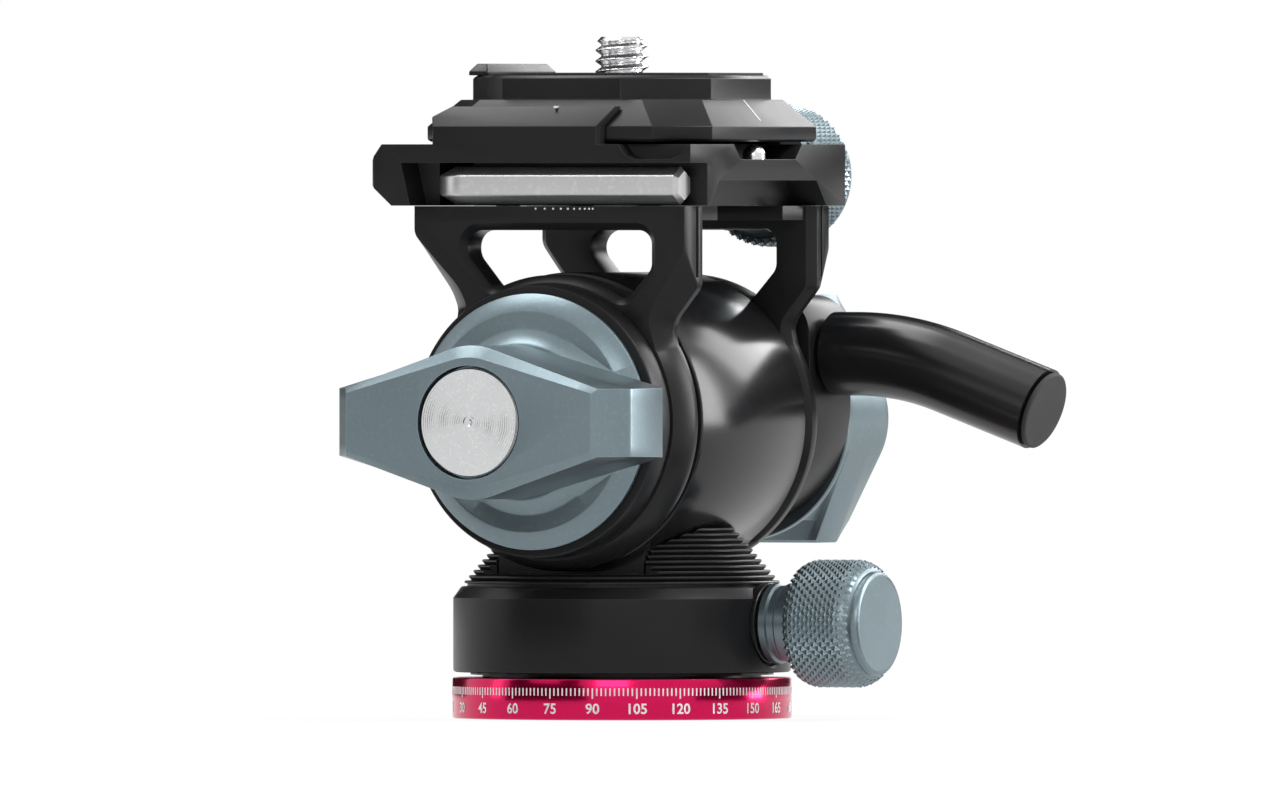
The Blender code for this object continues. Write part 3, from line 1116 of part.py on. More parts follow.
def hex_key(finish, carrier):
    """The stowed key: a long leg along the slot and a short leg turned into the body."""
    section = hexagon(KEY_ACROSS_FLATS, 90)
    bend = KEY_ACROSS_FLATS * 3 / 4
    corner = Vector((-KEY_LEFT + bend, KEY_Y + bend, KEY_HEIGHT))
    tip = Vector((KEY_RIGHT, KEY_Y, KEY_HEIGHT))
    stations = [(tip, Vector((0, 1, 0)), 1 - 2 * KEY_CHAMFER / KEY_ACROSS_FLATS)]
    stations.append((tip - Vector((KEY_CHAMFER, 0, 0)), Vector((0, 1, 0)), 1))
    for i in range(KEY_BEND_SIDES + 1):
        angle = math.pi / 2 * i / KEY_BEND_SIDES
        outward = Vector((-math.sin(angle), -math.cos(angle), 0))
        stations.append((corner + outward * bend, -outward, 1))
    end = Vector((-KEY_LEFT, KEY_Y + KEY_SHORT_LEG, KEY_HEIGHT))
    stations.append((end, Vector((1, 0, 0)), 1))
    mesh_data = bmesh.new()
    rings = []
    for place, inward, share in stations:
        ring = [mesh_data.verts.new(place + (inward * a + Vector((0, 0, b))) * share) for a, b in section]
        rings.append(ring)
    for lower, upper in zip(rings, rings[1:]):
        for i in range(len(section)):
            j = (i + 1) % len(section)
            mesh_data.faces.new((lower[i], lower[j], upper[j], upper[i]))
    mesh_data.faces.new(rings[0])
    mesh_data.faces.new(rings[-1])
    return add("hex_key", mesh_data, finish, carrier)


def key_magnet(finish, carrier):
    magnet = rod("Y", MAGNET_RADIUS, KEY_SLOT_BACK, KEY_SLOT_BACK + MAGNET_LENGTH, (MAGNET_X, 0, KEY_HEIGHT),
                 SMALL_SIDES // 2)
    return add("key_magnet", magnet, finish, carrier)


def cut_square(half, corner):
    """A square with cut corners, seen from above."""
    near = half - corner
    quarter = [(half, -near), (half, near), (near, half)]
    return quarter + [(-near, half)] + [(-x, -y) for x, y in quarter] + [(near, -half)]


def quick_plate(finish, carrier):
    """The dovetail plate under the camera, with the well for its screw."""
    low = PLATE_LOWER_CORNER
    high = PLATE_UPPER_CORNER
    flange = PLATE_FLANGE_HALF
    head = PLATE_HEAD_HALF
    layers = [(PLATE_BOTTOM, cut_square(flange - PLATE_UNDERCUT, low))]
    layers += [(PLATE_BOTTOM + PLATE_UNDERCUT, cut_square(flange, low))]
    layers += [(PLATE_FLANGE_TOP, cut_square(flange, low))]
    layers += [(PLATE_NECK_HEIGHT, cut_square(PLATE_NECK_HALF, low))]
    lower = layered("Z", layers)
    plate = add("quick_plate", lower, finish, carrier)
    head_layers = [(PLATE_NECK_HEIGHT - EDGE_BREAK, cut_square(head, high))]
    head_layers += [(PLATE_HEAD_TOP - PLATE_HEAD_EDGE, cut_square(head, high))]
    head_layers += [(PLATE_HEAD_TOP, cut_square(head - PLATE_HEAD_EDGE, high))]
    join(plate, layered("Z", head_layers))
    well_top = PLATE_BOTTOM + GAP + SCREW_HEAD_HEIGHT + GAP
    cut(plate, rod("Z", SCREW_HEAD_RADIUS + GAP, PLATE_BOTTOM - OVERRUN, well_top, sides=ROUND_SIDES),
        rod("Z", SCREW_RADIUS + GAP, PLATE_BOTTOM, PLATE_HEAD_TOP + OVERRUN))
    return plate


def plate_pad(finish, carrier):
    """The thin rubber pad on the plate, cut back along the lug."""
    half = PLATE_HEAD_HALF - PAD_INSET
    corner = PLATE_UPPER_CORNER
    near = half - corner
    left = -LUG_RIGHT + GAP
    edge = near + (half + left)
    outline = [(half, -near), (half, near), (near, half), (-near, half), (left, edge)]
    outline += [(left, -edge), (-near, -half), (near, -half)]
    sheet = prism("Z", outline, PLATE_HEAD_TOP, PLATE_HEAD_TOP + PAD_THICKNESS)
    pad = add("plate_pad", sheet, finish, carrier)
    return cut(pad, rod("Z", PAD_HOLE, PLATE_HEAD_TOP - OVERRUN, PLATE_HEAD_TOP + OVERRUN))


def anti_twist_lug(finish, carrier):
    """The raised lip that a camera's edge rests against."""
    left = -LUG_LEFT
    right = -LUG_RIGHT
    half = LUG_HALF_WIDTH
    low = PLATE_HEAD_TOP
    high = LUG_TOP
    foot = rectangle(left, right, -half, half)
    top = rectangle(left + LUG_CHAMFER / 2, right - LUG_SLOPE / 2, -half + LUG_CHAMFER, half - LUG_CHAMFER)
    layers = [(low, foot), (low + (high - low) / 3, foot), (high, top)]
    return add("anti_twist_lug", layered("Z", layers), finish, carrier)


def camera_screw(finish, carrier):
    """The slotted camera screw, its head up in the plate's well."""
    low = PLATE_BOTTOM + GAP
    head_top = low + SCREW_HEAD_HEIGHT
    edge = SCREW_END_CHAMFER
    profile = [(0, low), (SCREW_HEAD_RADIUS, low), (SCREW_HEAD_RADIUS, head_top), (SCREW_RADIUS, head_top)]
    profile += [(SCREW_RADIUS, SCREW_TOP - edge), (SCREW_RADIUS - edge, SCREW_TOP), (0, SCREW_TOP)]
    screw = add("camera_screw", turned("Z", profile), finish, carrier)
    half = COIN_SLOT_WIDTH / 2
    reach = SCREW_HEAD_RADIUS + OVERRUN
    return cut(screw, box((-reach, reach), (-half, half), (low - OVERRUN, low + COIN_SLOT_DEPTH)))


def pan_knob(finish, black, steel, carrier):
    """The pan lock: knob, washer and stud on an axis along X."""
    centre = (0, 0, PAN_KNOB_HEIGHT)
    start = HOUSING_RADIUS + GAP
    washer_low = HOUSING_RADIUS - PAN_KNOB_COUNTERBORE_DEPTH + GAP
    washer_high = washer_low + PAN_WASHER_THICKNESS
    bore = PAN_STUD_RADIUS + GAP
    neck = PAN_KNOB_NECK_RADIUS
    bevel = PAN_KNOB_BEVEL
    body_start = PAN_KNOB_NECK_END
    bore_end = body_start + (PAN_KNOB_BODY_END - body_start) / 2
    neck_waist = neck - EDGE_BREAK
    profile = [(0, bore_end), (bore, bore_end), (bore, start), (neck, start), (neck, start + EDGE_BREAK * 3)]
    profile += [(neck_waist, start + EDGE_BREAK * 4), (neck_waist, body_start - EDGE_BREAK)]
    profile += [(PAN_KNOB_RADIUS - bevel, body_start), (PAN_KNOB_RADIUS, body_start + bevel)]
    profile += [(PAN_KNOB_RADIUS, PAN_KNOB_BODY_END - bevel), (PAN_KNOB_RADIUS - bevel, PAN_KNOB_BODY_END)]
    profile += [(PAN_KNOB_FACE_RADIUS, PAN_KNOB_END), (0, PAN_KNOB_END)]
    add("pan_knob", turned("X", profile, centre), finish, carrier)
    washer = tube("X", bore, neck, washer_low, washer_high, centre)
    add("pan_knob_washer", washer, black, carrier)
    stud = chamfered_rod("X", PAN_STUD_RADIUS, PAN_STUD_TIP, bore_end - GAP, EDGE_BREAK, centre)
    add("pan_lock_stud", stud, steel, carrier)


def pan_brake_shoe(finish, carrier):
    """The curved shoe that the pan lock presses against the base's hub."""
    inner = HUB_RADIUS + GAP
    outer = PAN_STUD_TIP - GAP
    swing = math.degrees(SHOE_HALF_ANGLE)
    outline = arc((0, 0), inner, -swing, swing, 4)
    half = inner * math.sin(SHOE_HALF_ANGLE)
    outline += [(outer, half), (outer, -half)]
    shoe = prism("Z", outline, PAN_KNOB_HEIGHT - SHOE_HALF_HEIGHT, PAN_KNOB_HEIGHT + SHOE_HALF_HEIGHT)
    return add("pan_brake_shoe", shoe, finish, carrier)


def build():
    """Model every sub-part on the body that it moves with."""
    clear_scene()
    black = material("black_anodised", (0.028, 0.028, 0.03), 0.38, 0.9)
    gloss_black = material("satin_black", (0.02, 0.02, 0.022), 0.3, 0.9)
    blue_grey = material("blue_grey_anodised", (0.3, 0.36, 0.4), 0.4, 0.9)
    red = material("rose_red_anodised", (0.6, 0.02, 0.07), 0.3, 0.9)
    silver = material("spun_silver", (0.75, 0.75, 0.76), 0.25, 1)
    steel = material("plated_steel", (0.62, 0.62, 0.64), 0.25, 1)
    bronze = material("bearing_bronze", (0.5, 0.33, 0.14), 0.35, 1)
    rubber = material("black_rubber", (0.015, 0.015, 0.016), 0.8, 0)
    friction = material("friction_fibre", (0.2, 0.17, 0.13), 0.8, 0)

    tilt = tuple(TILT_CENTRE)
    clamp_axis = (CLAMP_KNOB_X, CLAMP_KNOB_START, CLAMP_KNOB_HEIGHT)
    base = body("base_body")
    pan = body("pan_body")
    tilting = body("tilt_body", tilt)
    jaw = body("jaw_body", clamp_axis)
    clamp_turn = body("clamp_knob_body", clamp_axis)
    pin = body("safety_pin_body", (PIN_X, 0, PLATE_BOTTOM))
    sliding = body("quick_plate_body", (0, 0, PLATE_BOTTOM))
    screw = body("camera_screw_body", (0, 0, PLATE_BOTTOM))
    tilt_lock_body = body("tilt_knob_body", tilt)
    handle_lock = body("handle_knob_body", tilt)
    handle = body("handle_body", tilt)
    pan_lock = body("pan_knob_body", (HOUSING_RADIUS, 0, PAN_KNOB_HEIGHT))
    key = body("hex_key_body", (0, KEY_Y, KEY_HEIGHT))

    scale_ring(red, base)
    base_plate(black, base)
    tripod_bushing(steel, base)
    pan_spindle(steel, base)
    pan_bearing(black, base)
    pan_stack(steel, friction, base)

    pan_housing(black, pan)
    pan_brake_shoe(bronze, pan)
    tilt_housing(gloss_black, pan)
    neck_screws(steel, pan)
    bearings_and_seals(bronze, rubber, pan)
    fluid_cartridge(black, pan)

    tilt_shaft(steel, tilting)
    damping_rotor(steel, tilting)
    side_plate("side_plate_near", -1, black, tilting)
    side_plate("side_plate_far", 1, black, tilting)
    tilt_lock(black, friction, tilting)
    clamp_body(black, tilting)
    yoke_screws(steel, tilting)
    key_magnet(steel, tilting)

    clamp_jaw(black, jaw)
    clamp_knob(blue_grey, steel, clamp_turn)
    safety_pin(steel, pin)
    hex_key(steel, key)
    quick_plate(black, sliding)
    plate_pad(rubber, sliding)
    anti_twist_lug(black, sliding)
    camera_screw(steel, screw)

    tilt_sizes = (TILT_KNOB_BACK, TILT_KNOB_LENGTH, TILT_KNOB_DISC_RADIUS, TILT_KNOB_REACH, TILT_KNOB_HUB,
                  TILT_KNOB_TIP_BACK_share)
    wing_knob("tilt_knob", -1, tilt_sizes, False, blue_grey, tilt_lock_body)
    knob_cap("tilt_knob_cap", -1, TILT_KNOB_BACK + TILT_KNOB_LENGTH, silver, tilt_lock_body)
    knob_stud("tilt_lock_stud", -1, TILT_KNOB_BACK, steel, tilt_lock_body)

    handle_sizes = (HANDLE_KNOB_BACK, HANDLE_KNOB_LENGTH, HANDLE_KNOB_DISC_RADIUS, HANDLE_KNOB_REACH,
                    HANDLE_KNOB_HUB, HANDLE_KNOB_TIP_BACK_share)
    wing_knob("handle_knob", 1, handle_sizes, True, blue_grey, handle_lock)
    knob_cap("handle_knob_cap", 1, HANDLE_KNOB_BACK + HANDLE_KNOB_LENGTH, silver, handle_lock)
    knob_stud("handle_lock_stud", 1, HANDLE_KNOB_BACK, steel, handle_lock)

    handle_block(black, handle)
    handle_tube(black, handle)
    handle_plug(rubber, handle)
    pan_knob(blue_grey, black, steel, pan_lock)
    bpy.context.view_layer.update()


build()
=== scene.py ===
import json
import math

import bmesh
import bpy
from mathutils import Euler, Matrix, Vector


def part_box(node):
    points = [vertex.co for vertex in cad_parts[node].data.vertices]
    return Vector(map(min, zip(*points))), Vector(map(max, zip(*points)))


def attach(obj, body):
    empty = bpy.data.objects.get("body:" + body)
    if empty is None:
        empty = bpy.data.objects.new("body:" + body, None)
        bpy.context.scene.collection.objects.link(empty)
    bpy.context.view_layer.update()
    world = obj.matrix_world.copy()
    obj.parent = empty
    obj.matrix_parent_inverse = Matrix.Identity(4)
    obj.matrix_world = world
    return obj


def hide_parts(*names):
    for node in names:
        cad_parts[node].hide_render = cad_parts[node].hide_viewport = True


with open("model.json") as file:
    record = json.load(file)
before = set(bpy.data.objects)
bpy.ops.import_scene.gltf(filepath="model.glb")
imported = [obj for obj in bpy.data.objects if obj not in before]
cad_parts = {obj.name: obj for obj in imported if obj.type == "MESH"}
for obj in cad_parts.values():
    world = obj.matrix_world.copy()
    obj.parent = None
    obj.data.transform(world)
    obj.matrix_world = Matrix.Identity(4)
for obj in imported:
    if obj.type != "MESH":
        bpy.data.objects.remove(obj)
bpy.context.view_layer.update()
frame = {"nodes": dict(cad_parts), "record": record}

bl_info = {
    "name": "Fluid head",
    "version": (1, 0, 0),
    "blender": (4, 5, 0),
    "location": "View3D > Sidebar > Fluid head",
    "description": "Detailed looks for a compact fluid head, built around its packed frame",
    "category": "Object",
}

SMOOTH_ANGLE = math.radians(32)
ROUND, FINE, SMALL = 192, 96, 48  # sides of large, middling and small turned shapes

# Lengths are in millimetres up to the mesh tools, which scale them. Trees, lamps and the camera take metres.
MM = 0.001
GAP = 0.3
OVERRUN = 2
ORIGIN = (0, 0, 0)
TILT_HEIGHT = 35.4
TILT_CENTRE = (0, 0, TILT_HEIGHT)
PAN_KNOB_CENTRE = (0, 0, 11.4)
CLAMP_KNOB_CENTRE = (7.1, 0, 64.6)
PLATE_INNER, PLATE_OUTER, PLATE_HALF, PLATE_TOP, PLATE_RING = 14.1, 19.0, 18.4, 60.96, 17.8
CLAMP_LEFT, CLAMP_RIGHT, CLAMP_HALF, CLAMP_BOTTOM, CLAMP_TOP = -23.1, 19.5, 20.4, 61.0, 68.3
KEY_Y, KEY_Z = -18.25, 63.4
MAGNET_CENTRE = (6.3, 0, KEY_Z)
PIN_CENTRE = (17.6, 0, 0)
SCALE_START = math.radians(-58 - 105)


# ---------------------------------------------------------------- sizes and colours to change

LENGTH = {"subtype": "DISTANCE", "unit": "LENGTH"}
COLOUR = {"size": 3, "subtype": "COLOR"}


class HeadSizes(bpy.types.PropertyGroup):
    """Sizes of the visible detail."""

    rib_count: bpy.props.IntProperty(
        name="Ribs", description="Steps turned into the cone of the pan housing", default=11, min=3, max=12)
    degree_step: bpy.props.FloatProperty(
        name="Degree step", description="Angle between two ticks of the pan scale",
        default=math.radians(1.5), subtype="ANGLE", unit="ROTATION")
    ticks_per_number: bpy.props.IntProperty(
        name="Ticks per number", description="Ticks from one number to the next", default=10, min=1)
    tick_width: bpy.props.FloatProperty(
        name="Tick width", description="Width of a printed tick", default=0.17 * MM, **LENGTH)
    number_height: bpy.props.FloatProperty(
        name="Number height", description="Height of the printed degrees", default=1.2 * MM, **LENGTH)
    knurl_columns: bpy.props.IntProperty(
        name="Knurl columns", description="Rows of pyramids along the pan lock knob", default=7, min=2)
    knurl_height: bpy.props.FloatProperty(
        name="Knurl height", description="Height of one pyramid of the knurl", default=0.42 * MM, **LENGTH)
    thread_pitch: bpy.props.FloatProperty(
        name="Thread pitch", description="Pitch of the camera screw", default=1.27 * MM, **LENGTH)
    edge_break: bpy.props.FloatProperty(
        name="Edge break", description="Width of the small bevels on machined edges", default=0.14 * MM, **LENGTH)


class HeadColours(bpy.types.PropertyGroup):
    """Colours of the finishes."""

    black: bpy.props.FloatVectorProperty(
        name="Black", description="Satin black anodised metal", default=(0.013, 0.013, 0.014), **COLOUR)
    drum_black: bpy.props.FloatVectorProperty(
        name="Drum black", description="Smooth black of the drum and the handle", default=(0.012, 0.012, 0.013),
        **COLOUR)
    blue_grey: bpy.props.FloatVectorProperty(
        name="Blue-grey", description="Sandblasted metal of the knobs", default=(0.16, 0.208, 0.228), **COLOUR)
    rose_red: bpy.props.FloatVectorProperty(
        name="Rose red", description="Anodised scale ring", default=(0.58, 0.0, 0.075), **COLOUR)
    silver: bpy.props.FloatVectorProperty(
        name="Silver", description="Spun discs in the wing knobs", default=(0.62, 0.625, 0.63), **COLOUR)
    steel: bpy.props.FloatVectorProperty(
        name="Steel", description="Plated screws, key and pin", default=(0.68, 0.68, 0.69), **COLOUR)
    ink: bpy.props.FloatVectorProperty(
        name="Ink", description="Printed ticks, numbers and index lines", default=(0.86, 0.86, 0.86), **COLOUR)
    floor: bpy.props.FloatVectorProperty(
        name="Floor", description="Floor under the head", default=(0.9, 0.9, 0.9), **COLOUR)


def sizes():
    return bpy.context.scene.head_sizes


def colours():
    return bpy.context.scene.head_colours


def span(node):
    """A node's lowest and highest corners at rest, in millimetres."""
    return [Vector(corner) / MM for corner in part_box(node)]


# ---------------------------------------------------------------- outlines, in millimetres

def rectangle(left, right, bottom, top):
    return [(left, bottom), (right, bottom), (right, top), (left, top)]


def circle(radius, sides=SMALL, turn=0):
    angles = [math.tau * i / sides + math.radians(turn) for i in range(sides)]
    return [(radius * math.cos(angle), radius * math.sin(angle)) for angle in angles]


def arc(centre, radius, start, end, steps):
    """Points along an arc, with angles in degrees."""
    angles = [math.radians(start + (end - start) * i / steps) for i in range(steps + 1)]
    return [(centre[0] + radius * math.cos(angle), centre[1] + radius * math.sin(angle)) for angle in angles]


def rim(radius, low, high, edge):
    """The outer points of a turned disc with both of its edges broken."""
    lower = [(radius - edge, low), (radius - edge * 0.3, low + edge * 0.3), (radius, low + edge)]
    return lower + [(r, high - (along - low)) for r, along in reversed(lower)]


def eased_corner(before, here, after, radius, limit, steps):
    """Points that round off a corner, using at most a limited share of its two sides."""
    before, here, after = Vector(before), Vector(here), Vector(after)
    reach = min(radius, (here - before).length / limit, (after - here).length / limit)
    start = here + (before - here).normalized() * reach
    end = here + (after - here).normalized() * reach
    shares = [k / steps for k in range(steps + 1)]
    return [tuple(start.lerp(here, share).lerp(here.lerp(end, share), share)) for share in shares]


def eased(corners, radius):
    """An open line with its inner corners rounded."""
    points = [corners[0]]
    for three in zip(corners, corners[1:], corners[2:]):
        points += eased_corner(*three, radius, 2.1, 4)
    return points


# ---------------------------------------------------------------- mesh tools

def axis_point(axis, across, up, along, centre=ORIGIN):
    """World place, in metres, of an outline point that lies at a height along an axis."""
    places = {"X": (along, across, up), "Y": (across, along, up), "Z": (across, up, along)}
    return Vector([value * MM for value in places[axis]]) + Vector([value * MM for value in centre])


def skinned(rings):
    """A closed solid through rings of equal point count."""
    solid = bmesh.new()
    rings = [[solid.verts.new(place) for place in ring] for ring in rings]
    for lower, upper in zip(rings, rings[1:]):
        for i in range(len(lower)):
            j = (i + 1) % len(lower)
            solid.faces.new((lower[i], lower[j], upper[j], upper[i]))
    solid.faces.new(rings[0])
    solid.faces.new(rings[-1])
    return solid


def layered(axis, layers):
    """A closed solid through outlines, each at its place along an axis."""
    return skinned([axis_point(axis, a, b, along) for a, b in outline] for along, outline in layers)


def swept(stations, outline):
    """A bar of one cross-section through (place, across, up, share) stations."""
    return skinned([(place + (across * a + up * b) * share) * MM for a, b in outline]
                   for place, across, up, share in stations)


def prism(axis, outline, low, high):
    return layered(axis, [(low, outline), (high, outline)])


def box(x_span, y_span, z_span):
    return prism("Z", rectangle(*x_span, *y_span), *z_span)


def turned(axis, profile, centre=ORIGIN, sides=ROUND):
    """A solid of revolution from (radius, along) points, in a closed loop or from axis to axis."""
    solid = bmesh.new()
    angles = [math.tau * i / sides for i in range(sides)]
    rings = []
    for radius, along in profile:
        rings.append([
            solid.verts.new(axis_point(axis, radius * math.cos(angle), radius * math.sin(angle), along, centre))
            for angle in (angles if radius else angles[:1])])
    pairs = list(zip(rings, rings[1:]))
    if profile[0][0] or profile[-1][0]:
        pairs.append((rings[-1], rings[0]))
    for lower, upper in pairs:
        for i in range(sides):
            j = (i + 1) % sides
            corners = [ring[k % len(ring)] for ring, k in ((lower, i), (lower, j), (upper, j), (upper, i))]
            solid.faces.new(tuple(dict.fromkeys(corners)))
    return solid


def rod(axis, radius, low, high, centre=ORIGIN, sides=SMALL):
    return turned(axis, [(0, low), (radius, low), (radius, high), (0, high)], centre, sides)


def mesh_from(name, solid):
    """A mesh from a bmesh, which is used up."""
    mesh = bpy.data.meshes.new(name)
    solid.to_mesh(mesh)
    solid.free()
    return mesh


def placed(name, data):
    """A new object in the scene."""
    made = bpy.data.objects.new(name, data)
    bpy.context.scene.collection.objects.link(made)
    return made


def discard(made):
    """Remove an object and its mesh."""
    mesh = made.data
    bpy.data.objects.remove(made)
    bpy.data.meshes.remove(mesh)


def as_object(name, solid):
    """An object from a closed bmesh, with every face turned outwards."""
    bmesh.ops.recalc_face_normals(solid, faces=solid.faces)
    if solid.calc_volume(signed=True) < 0:
        bmesh.ops.reverse_faces(solid, faces=solid.faces)
    return placed(name, mesh_from(name, solid))


def evaluated(made):
    """A plain mesh of what an object's modifiers or its text make."""
    bpy.context.view_layer.update()
    graph = bpy.context.evaluated_depsgraph_get()
    return bpy.data.meshes.new_from_object(made.evaluated_get(graph), depsgraph=graph)


def settle(made):
    """Turn a piece's modifiers into its mesh."""
    mesh = evaluated(made)
    made.modifiers.clear()
    old = made.data
    made.data = mesh
    bpy.data.meshes.remove(old)
    mesh.name = made.name
    return made


def shaped(name, start, cuts=(), joins=(), bevel=0, segments=2, bevel_angle=30):
    """A solid with others joined to it and cut from it, and its edges broken."""
    made = as_object(name, start)
    tools = []
    for operation, solids in (("UNION", joins), ("DIFFERENCE", cuts)):
        for solid in solids:
            tools.append(as_object(f"{name}_{operation.lower()}", solid))
            boolean = made.modifiers.new("boolean", "BOOLEAN")
            boolean.operation = operation
            boolean.solver = "EXACT"
            boolean.object = tools[-1]
    if tools:
        settle(made)
    for tool in tools:
        discard(tool)
    if bevel:
        clean = bmesh.new()
        clean.from_mesh(made.data)
        bmesh.ops.remove_doubles(clean, verts=clean.verts, dist=1e-6)
        bmesh.ops.dissolve_degenerate(clean, edges=clean.edges, dist=1e-6)
        clean.to_mesh(made.data)
        clean.free()
        edge = made.modifiers.new("edge", "BEVEL")
        edge.width = bevel * MM
        edge.segments = segments
        edge.limit_method = "ANGLE"
        edge.angle_limit = math.radians(bevel_angle)
        edge.use_clamp_overlap = True
        edge.miter_outer = "MITER_ARC"
        settle(made)
    return made


def dress(made, look, body, *nodes):
    """Give a piece the material of its look, hang it under the body that carries it and hide the frame nodes that
    it stands for.
    """
    made.data.materials.clear()
    made.data.materials.append(finish(look))
    for face in made.data.polygons:
        face.material_index = 0
    made.data.shade_smooth()
    made.data.set_sharp_from_angle(angle=SMOOTH_ANGLE)
    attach(made, body)
    if nodes:
        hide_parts(*nodes)
    return made


def piece(name, start, look, body, *nodes, **shaping):
    """A solid that is shaped and dressed."""
    return dress(shaped(name, start, **shaping), look, body, *nodes)


# ---------------------------------------------------------------- node tools

class Value:
    """A socket of a node tree with which sums are written plainly."""

    def __init__(self, wires, socket):
        self.wires, self.socket = wires, socket

    def __add__(self, other):
        return self.wires.maths("ADD", self, other)

    def __sub__(self, other):
        return self.wires.maths("SUBTRACT", self, other)

    def __rsub__(self, other):
        return self.wires.maths("SUBTRACT", other, self)

    def __mul__(self, other):
        return self.wires.maths("MULTIPLY", self, other)

    def __truediv__(self, other):
        return self.wires.maths("DIVIDE", self, other)


class Wires:
    """A node tree, with short ways to add nodes to it and join them."""

    def __init__(self, tree):
        self.tree = tree

    def __getitem__(self, label):
        """The tree's own input of that name."""
        return Value(self, self.start.outputs[label])

    def feed(self, socket, value):
        if isinstance(value, Value):
            self.tree.links.new(value.socket, socket)
        else:
            socket.default_value = value

    def node(self, kind, links=(), **settings):
        made = self.tree.nodes.new(kind)
        for key, value in settings.items():
            setattr(made, key, value)
        for key, value in dict(links).items():
            self.feed(made.inputs[key], value)
        return made

    def out(self, kind, links=(), output=0, **settings):
        """What one output of a new node gives."""
        return Value(self, self.node(kind, links, **settings).outputs[output])

    def maths(self, operation, *values):
        return self.out("ShaderNodeMath", enumerate(values), operation=operation)

    def clamped(self, value):
        return self.maths("MINIMUM", self.maths("MAXIMUM", value, 0.0), 1.0)

    def vector(self, *values):
        return self.out("ShaderNodeCombineXYZ", enumerate(values))

    def split(self, vector):
        return [Value(self, socket) for socket in self.node("ShaderNodeSeparateXYZ", {0: vector}).outputs]

    def give(self, **values):
        """Feed the tree's own outputs."""
        for label, value in values.items():
            self.feed(self.end.inputs[label], value)
        return self.tree


SOCKETS = {int: "NodeSocketInt", float: "NodeSocketFloat", tuple: "NodeSocketVector"}


def new_tree(kind, name, inputs, outputs):
    """A node tree with named inputs, by default value or kind of socket, and named outputs."""
    w = Wires(bpy.data.node_groups.new(name, kind))
    for label, default in inputs.items():
        socket = w.tree.interface.new_socket(
            label, in_out="INPUT", socket_type=SOCKETS.get(type(default), default))
        if type(default) in SOCKETS:
            socket.default_value = default
    for label, socket_kind in outputs.items():
        w.tree.interface.new_socket(label, in_out="OUTPUT", socket_type=socket_kind)
    w.start, w.end = w.tree.nodes.new("NodeGroupInput"), w.tree.nodes.new("NodeGroupOutput")
    return w


def growing_tree(name, inputs):
    geometry = {"Geometry": "NodeSocketGeometry"}
    return new_tree("GeometryNodeTree", name, {**geometry, **inputs, "Material": "NodeSocketMaterial"}, geometry)


def finish_tree(w, geometry):
    """End a tree as each one ends: instances made real, then the material."""
    real = w.out("GeometryNodeRealizeInstances", {"Geometry": geometry})
    return w.give(Geometry=w.out("GeometryNodeSetMaterial", {"Geometry": real, "Material": w["Material"]}))


def grown(name, tree, values):
    """Run a geometry node tree with its named inputs, and keep the result as a plain mesh."""
    carrier = placed(name, bpy.data.meshes.new(name))
    modifier = carrier.modifiers.new(name, "NODES")
    modifier.node_group = tree
    for item in tree.interface.items_tree:
        if item.item_type == "SOCKET" and item.in_out == "INPUT" and item.name in values:
            modifier[item.identifier] = values[item.name]
    return settle(carrier)


def knurl_tree():
    """Pyramids in a diamond pattern round a cylinder on the X axis."""
    w = growing_tree("Diamond knurl", {
        "Radius": 7.6 * MM, "Length": 8 * MM, "Columns": 15, "Rows": 88, "Height": 0.4 * MM, "End drop": 0.5 * MM})
    rows, columns, length = w["Rows"], w["Columns"], w["Length"]
    grid = w.out("GeometryNodeMeshGrid", {
        "Size X": length, "Size Y": 1.0, "Vertices X": columns, "Vertices Y": rows})
    index = w.out("GeometryNodeInputIndex")
    column = w.maths("FLOOR", index / rows)
    row = index - column * rows
    angle = row / rows * math.tau
    cosine, sine = w.maths("COSINE", angle), w.maths("SINE", angle)
    along = w.split(w.out("GeometryNodeInputPosition"))[0]
    level = 0.78  # share of the half length that keeps the full radius
    near_end = w.maths("MAXIMUM", w.maths("ABSOLUTE", along) / (length * 0.5) - level, 0.0)
    radius = w["Radius"] - near_end / 0.22 * w["End drop"]
    wrapped = w.out("GeometryNodeSetPosition", {
        "Geometry": grid, "Position": w.vector(along, cosine * radius, sine * radius)})
    cone = w.out("GeometryNodeMeshCone", {"Vertices": 4, "Radius Top": 0.0, "Radius Bottom": 1.0, "Depth": 1.0})
    turn = w.out("FunctionNodeAlignRotationToVector", {"Vector": w.vector(0.0, cosine, sine)},
                 axis="Z", pivot_axis="X")
    lap = 1.04  # how far a pyramid's foot reaches past its place
    scale = w.vector(length / (columns - 1.0) * lap, w["Radius"] * math.tau / rows * lap, w["Height"])
    even = w.maths("LESS_THAN", w.maths("MODULO", column + row, 2.0), 0.5)
    return finish_tree(w, w.out("GeometryNodeInstanceOnPoints", {
        "Points": wrapped, "Instance": cone, "Rotation": turn, "Scale": scale, "Selection": even}))


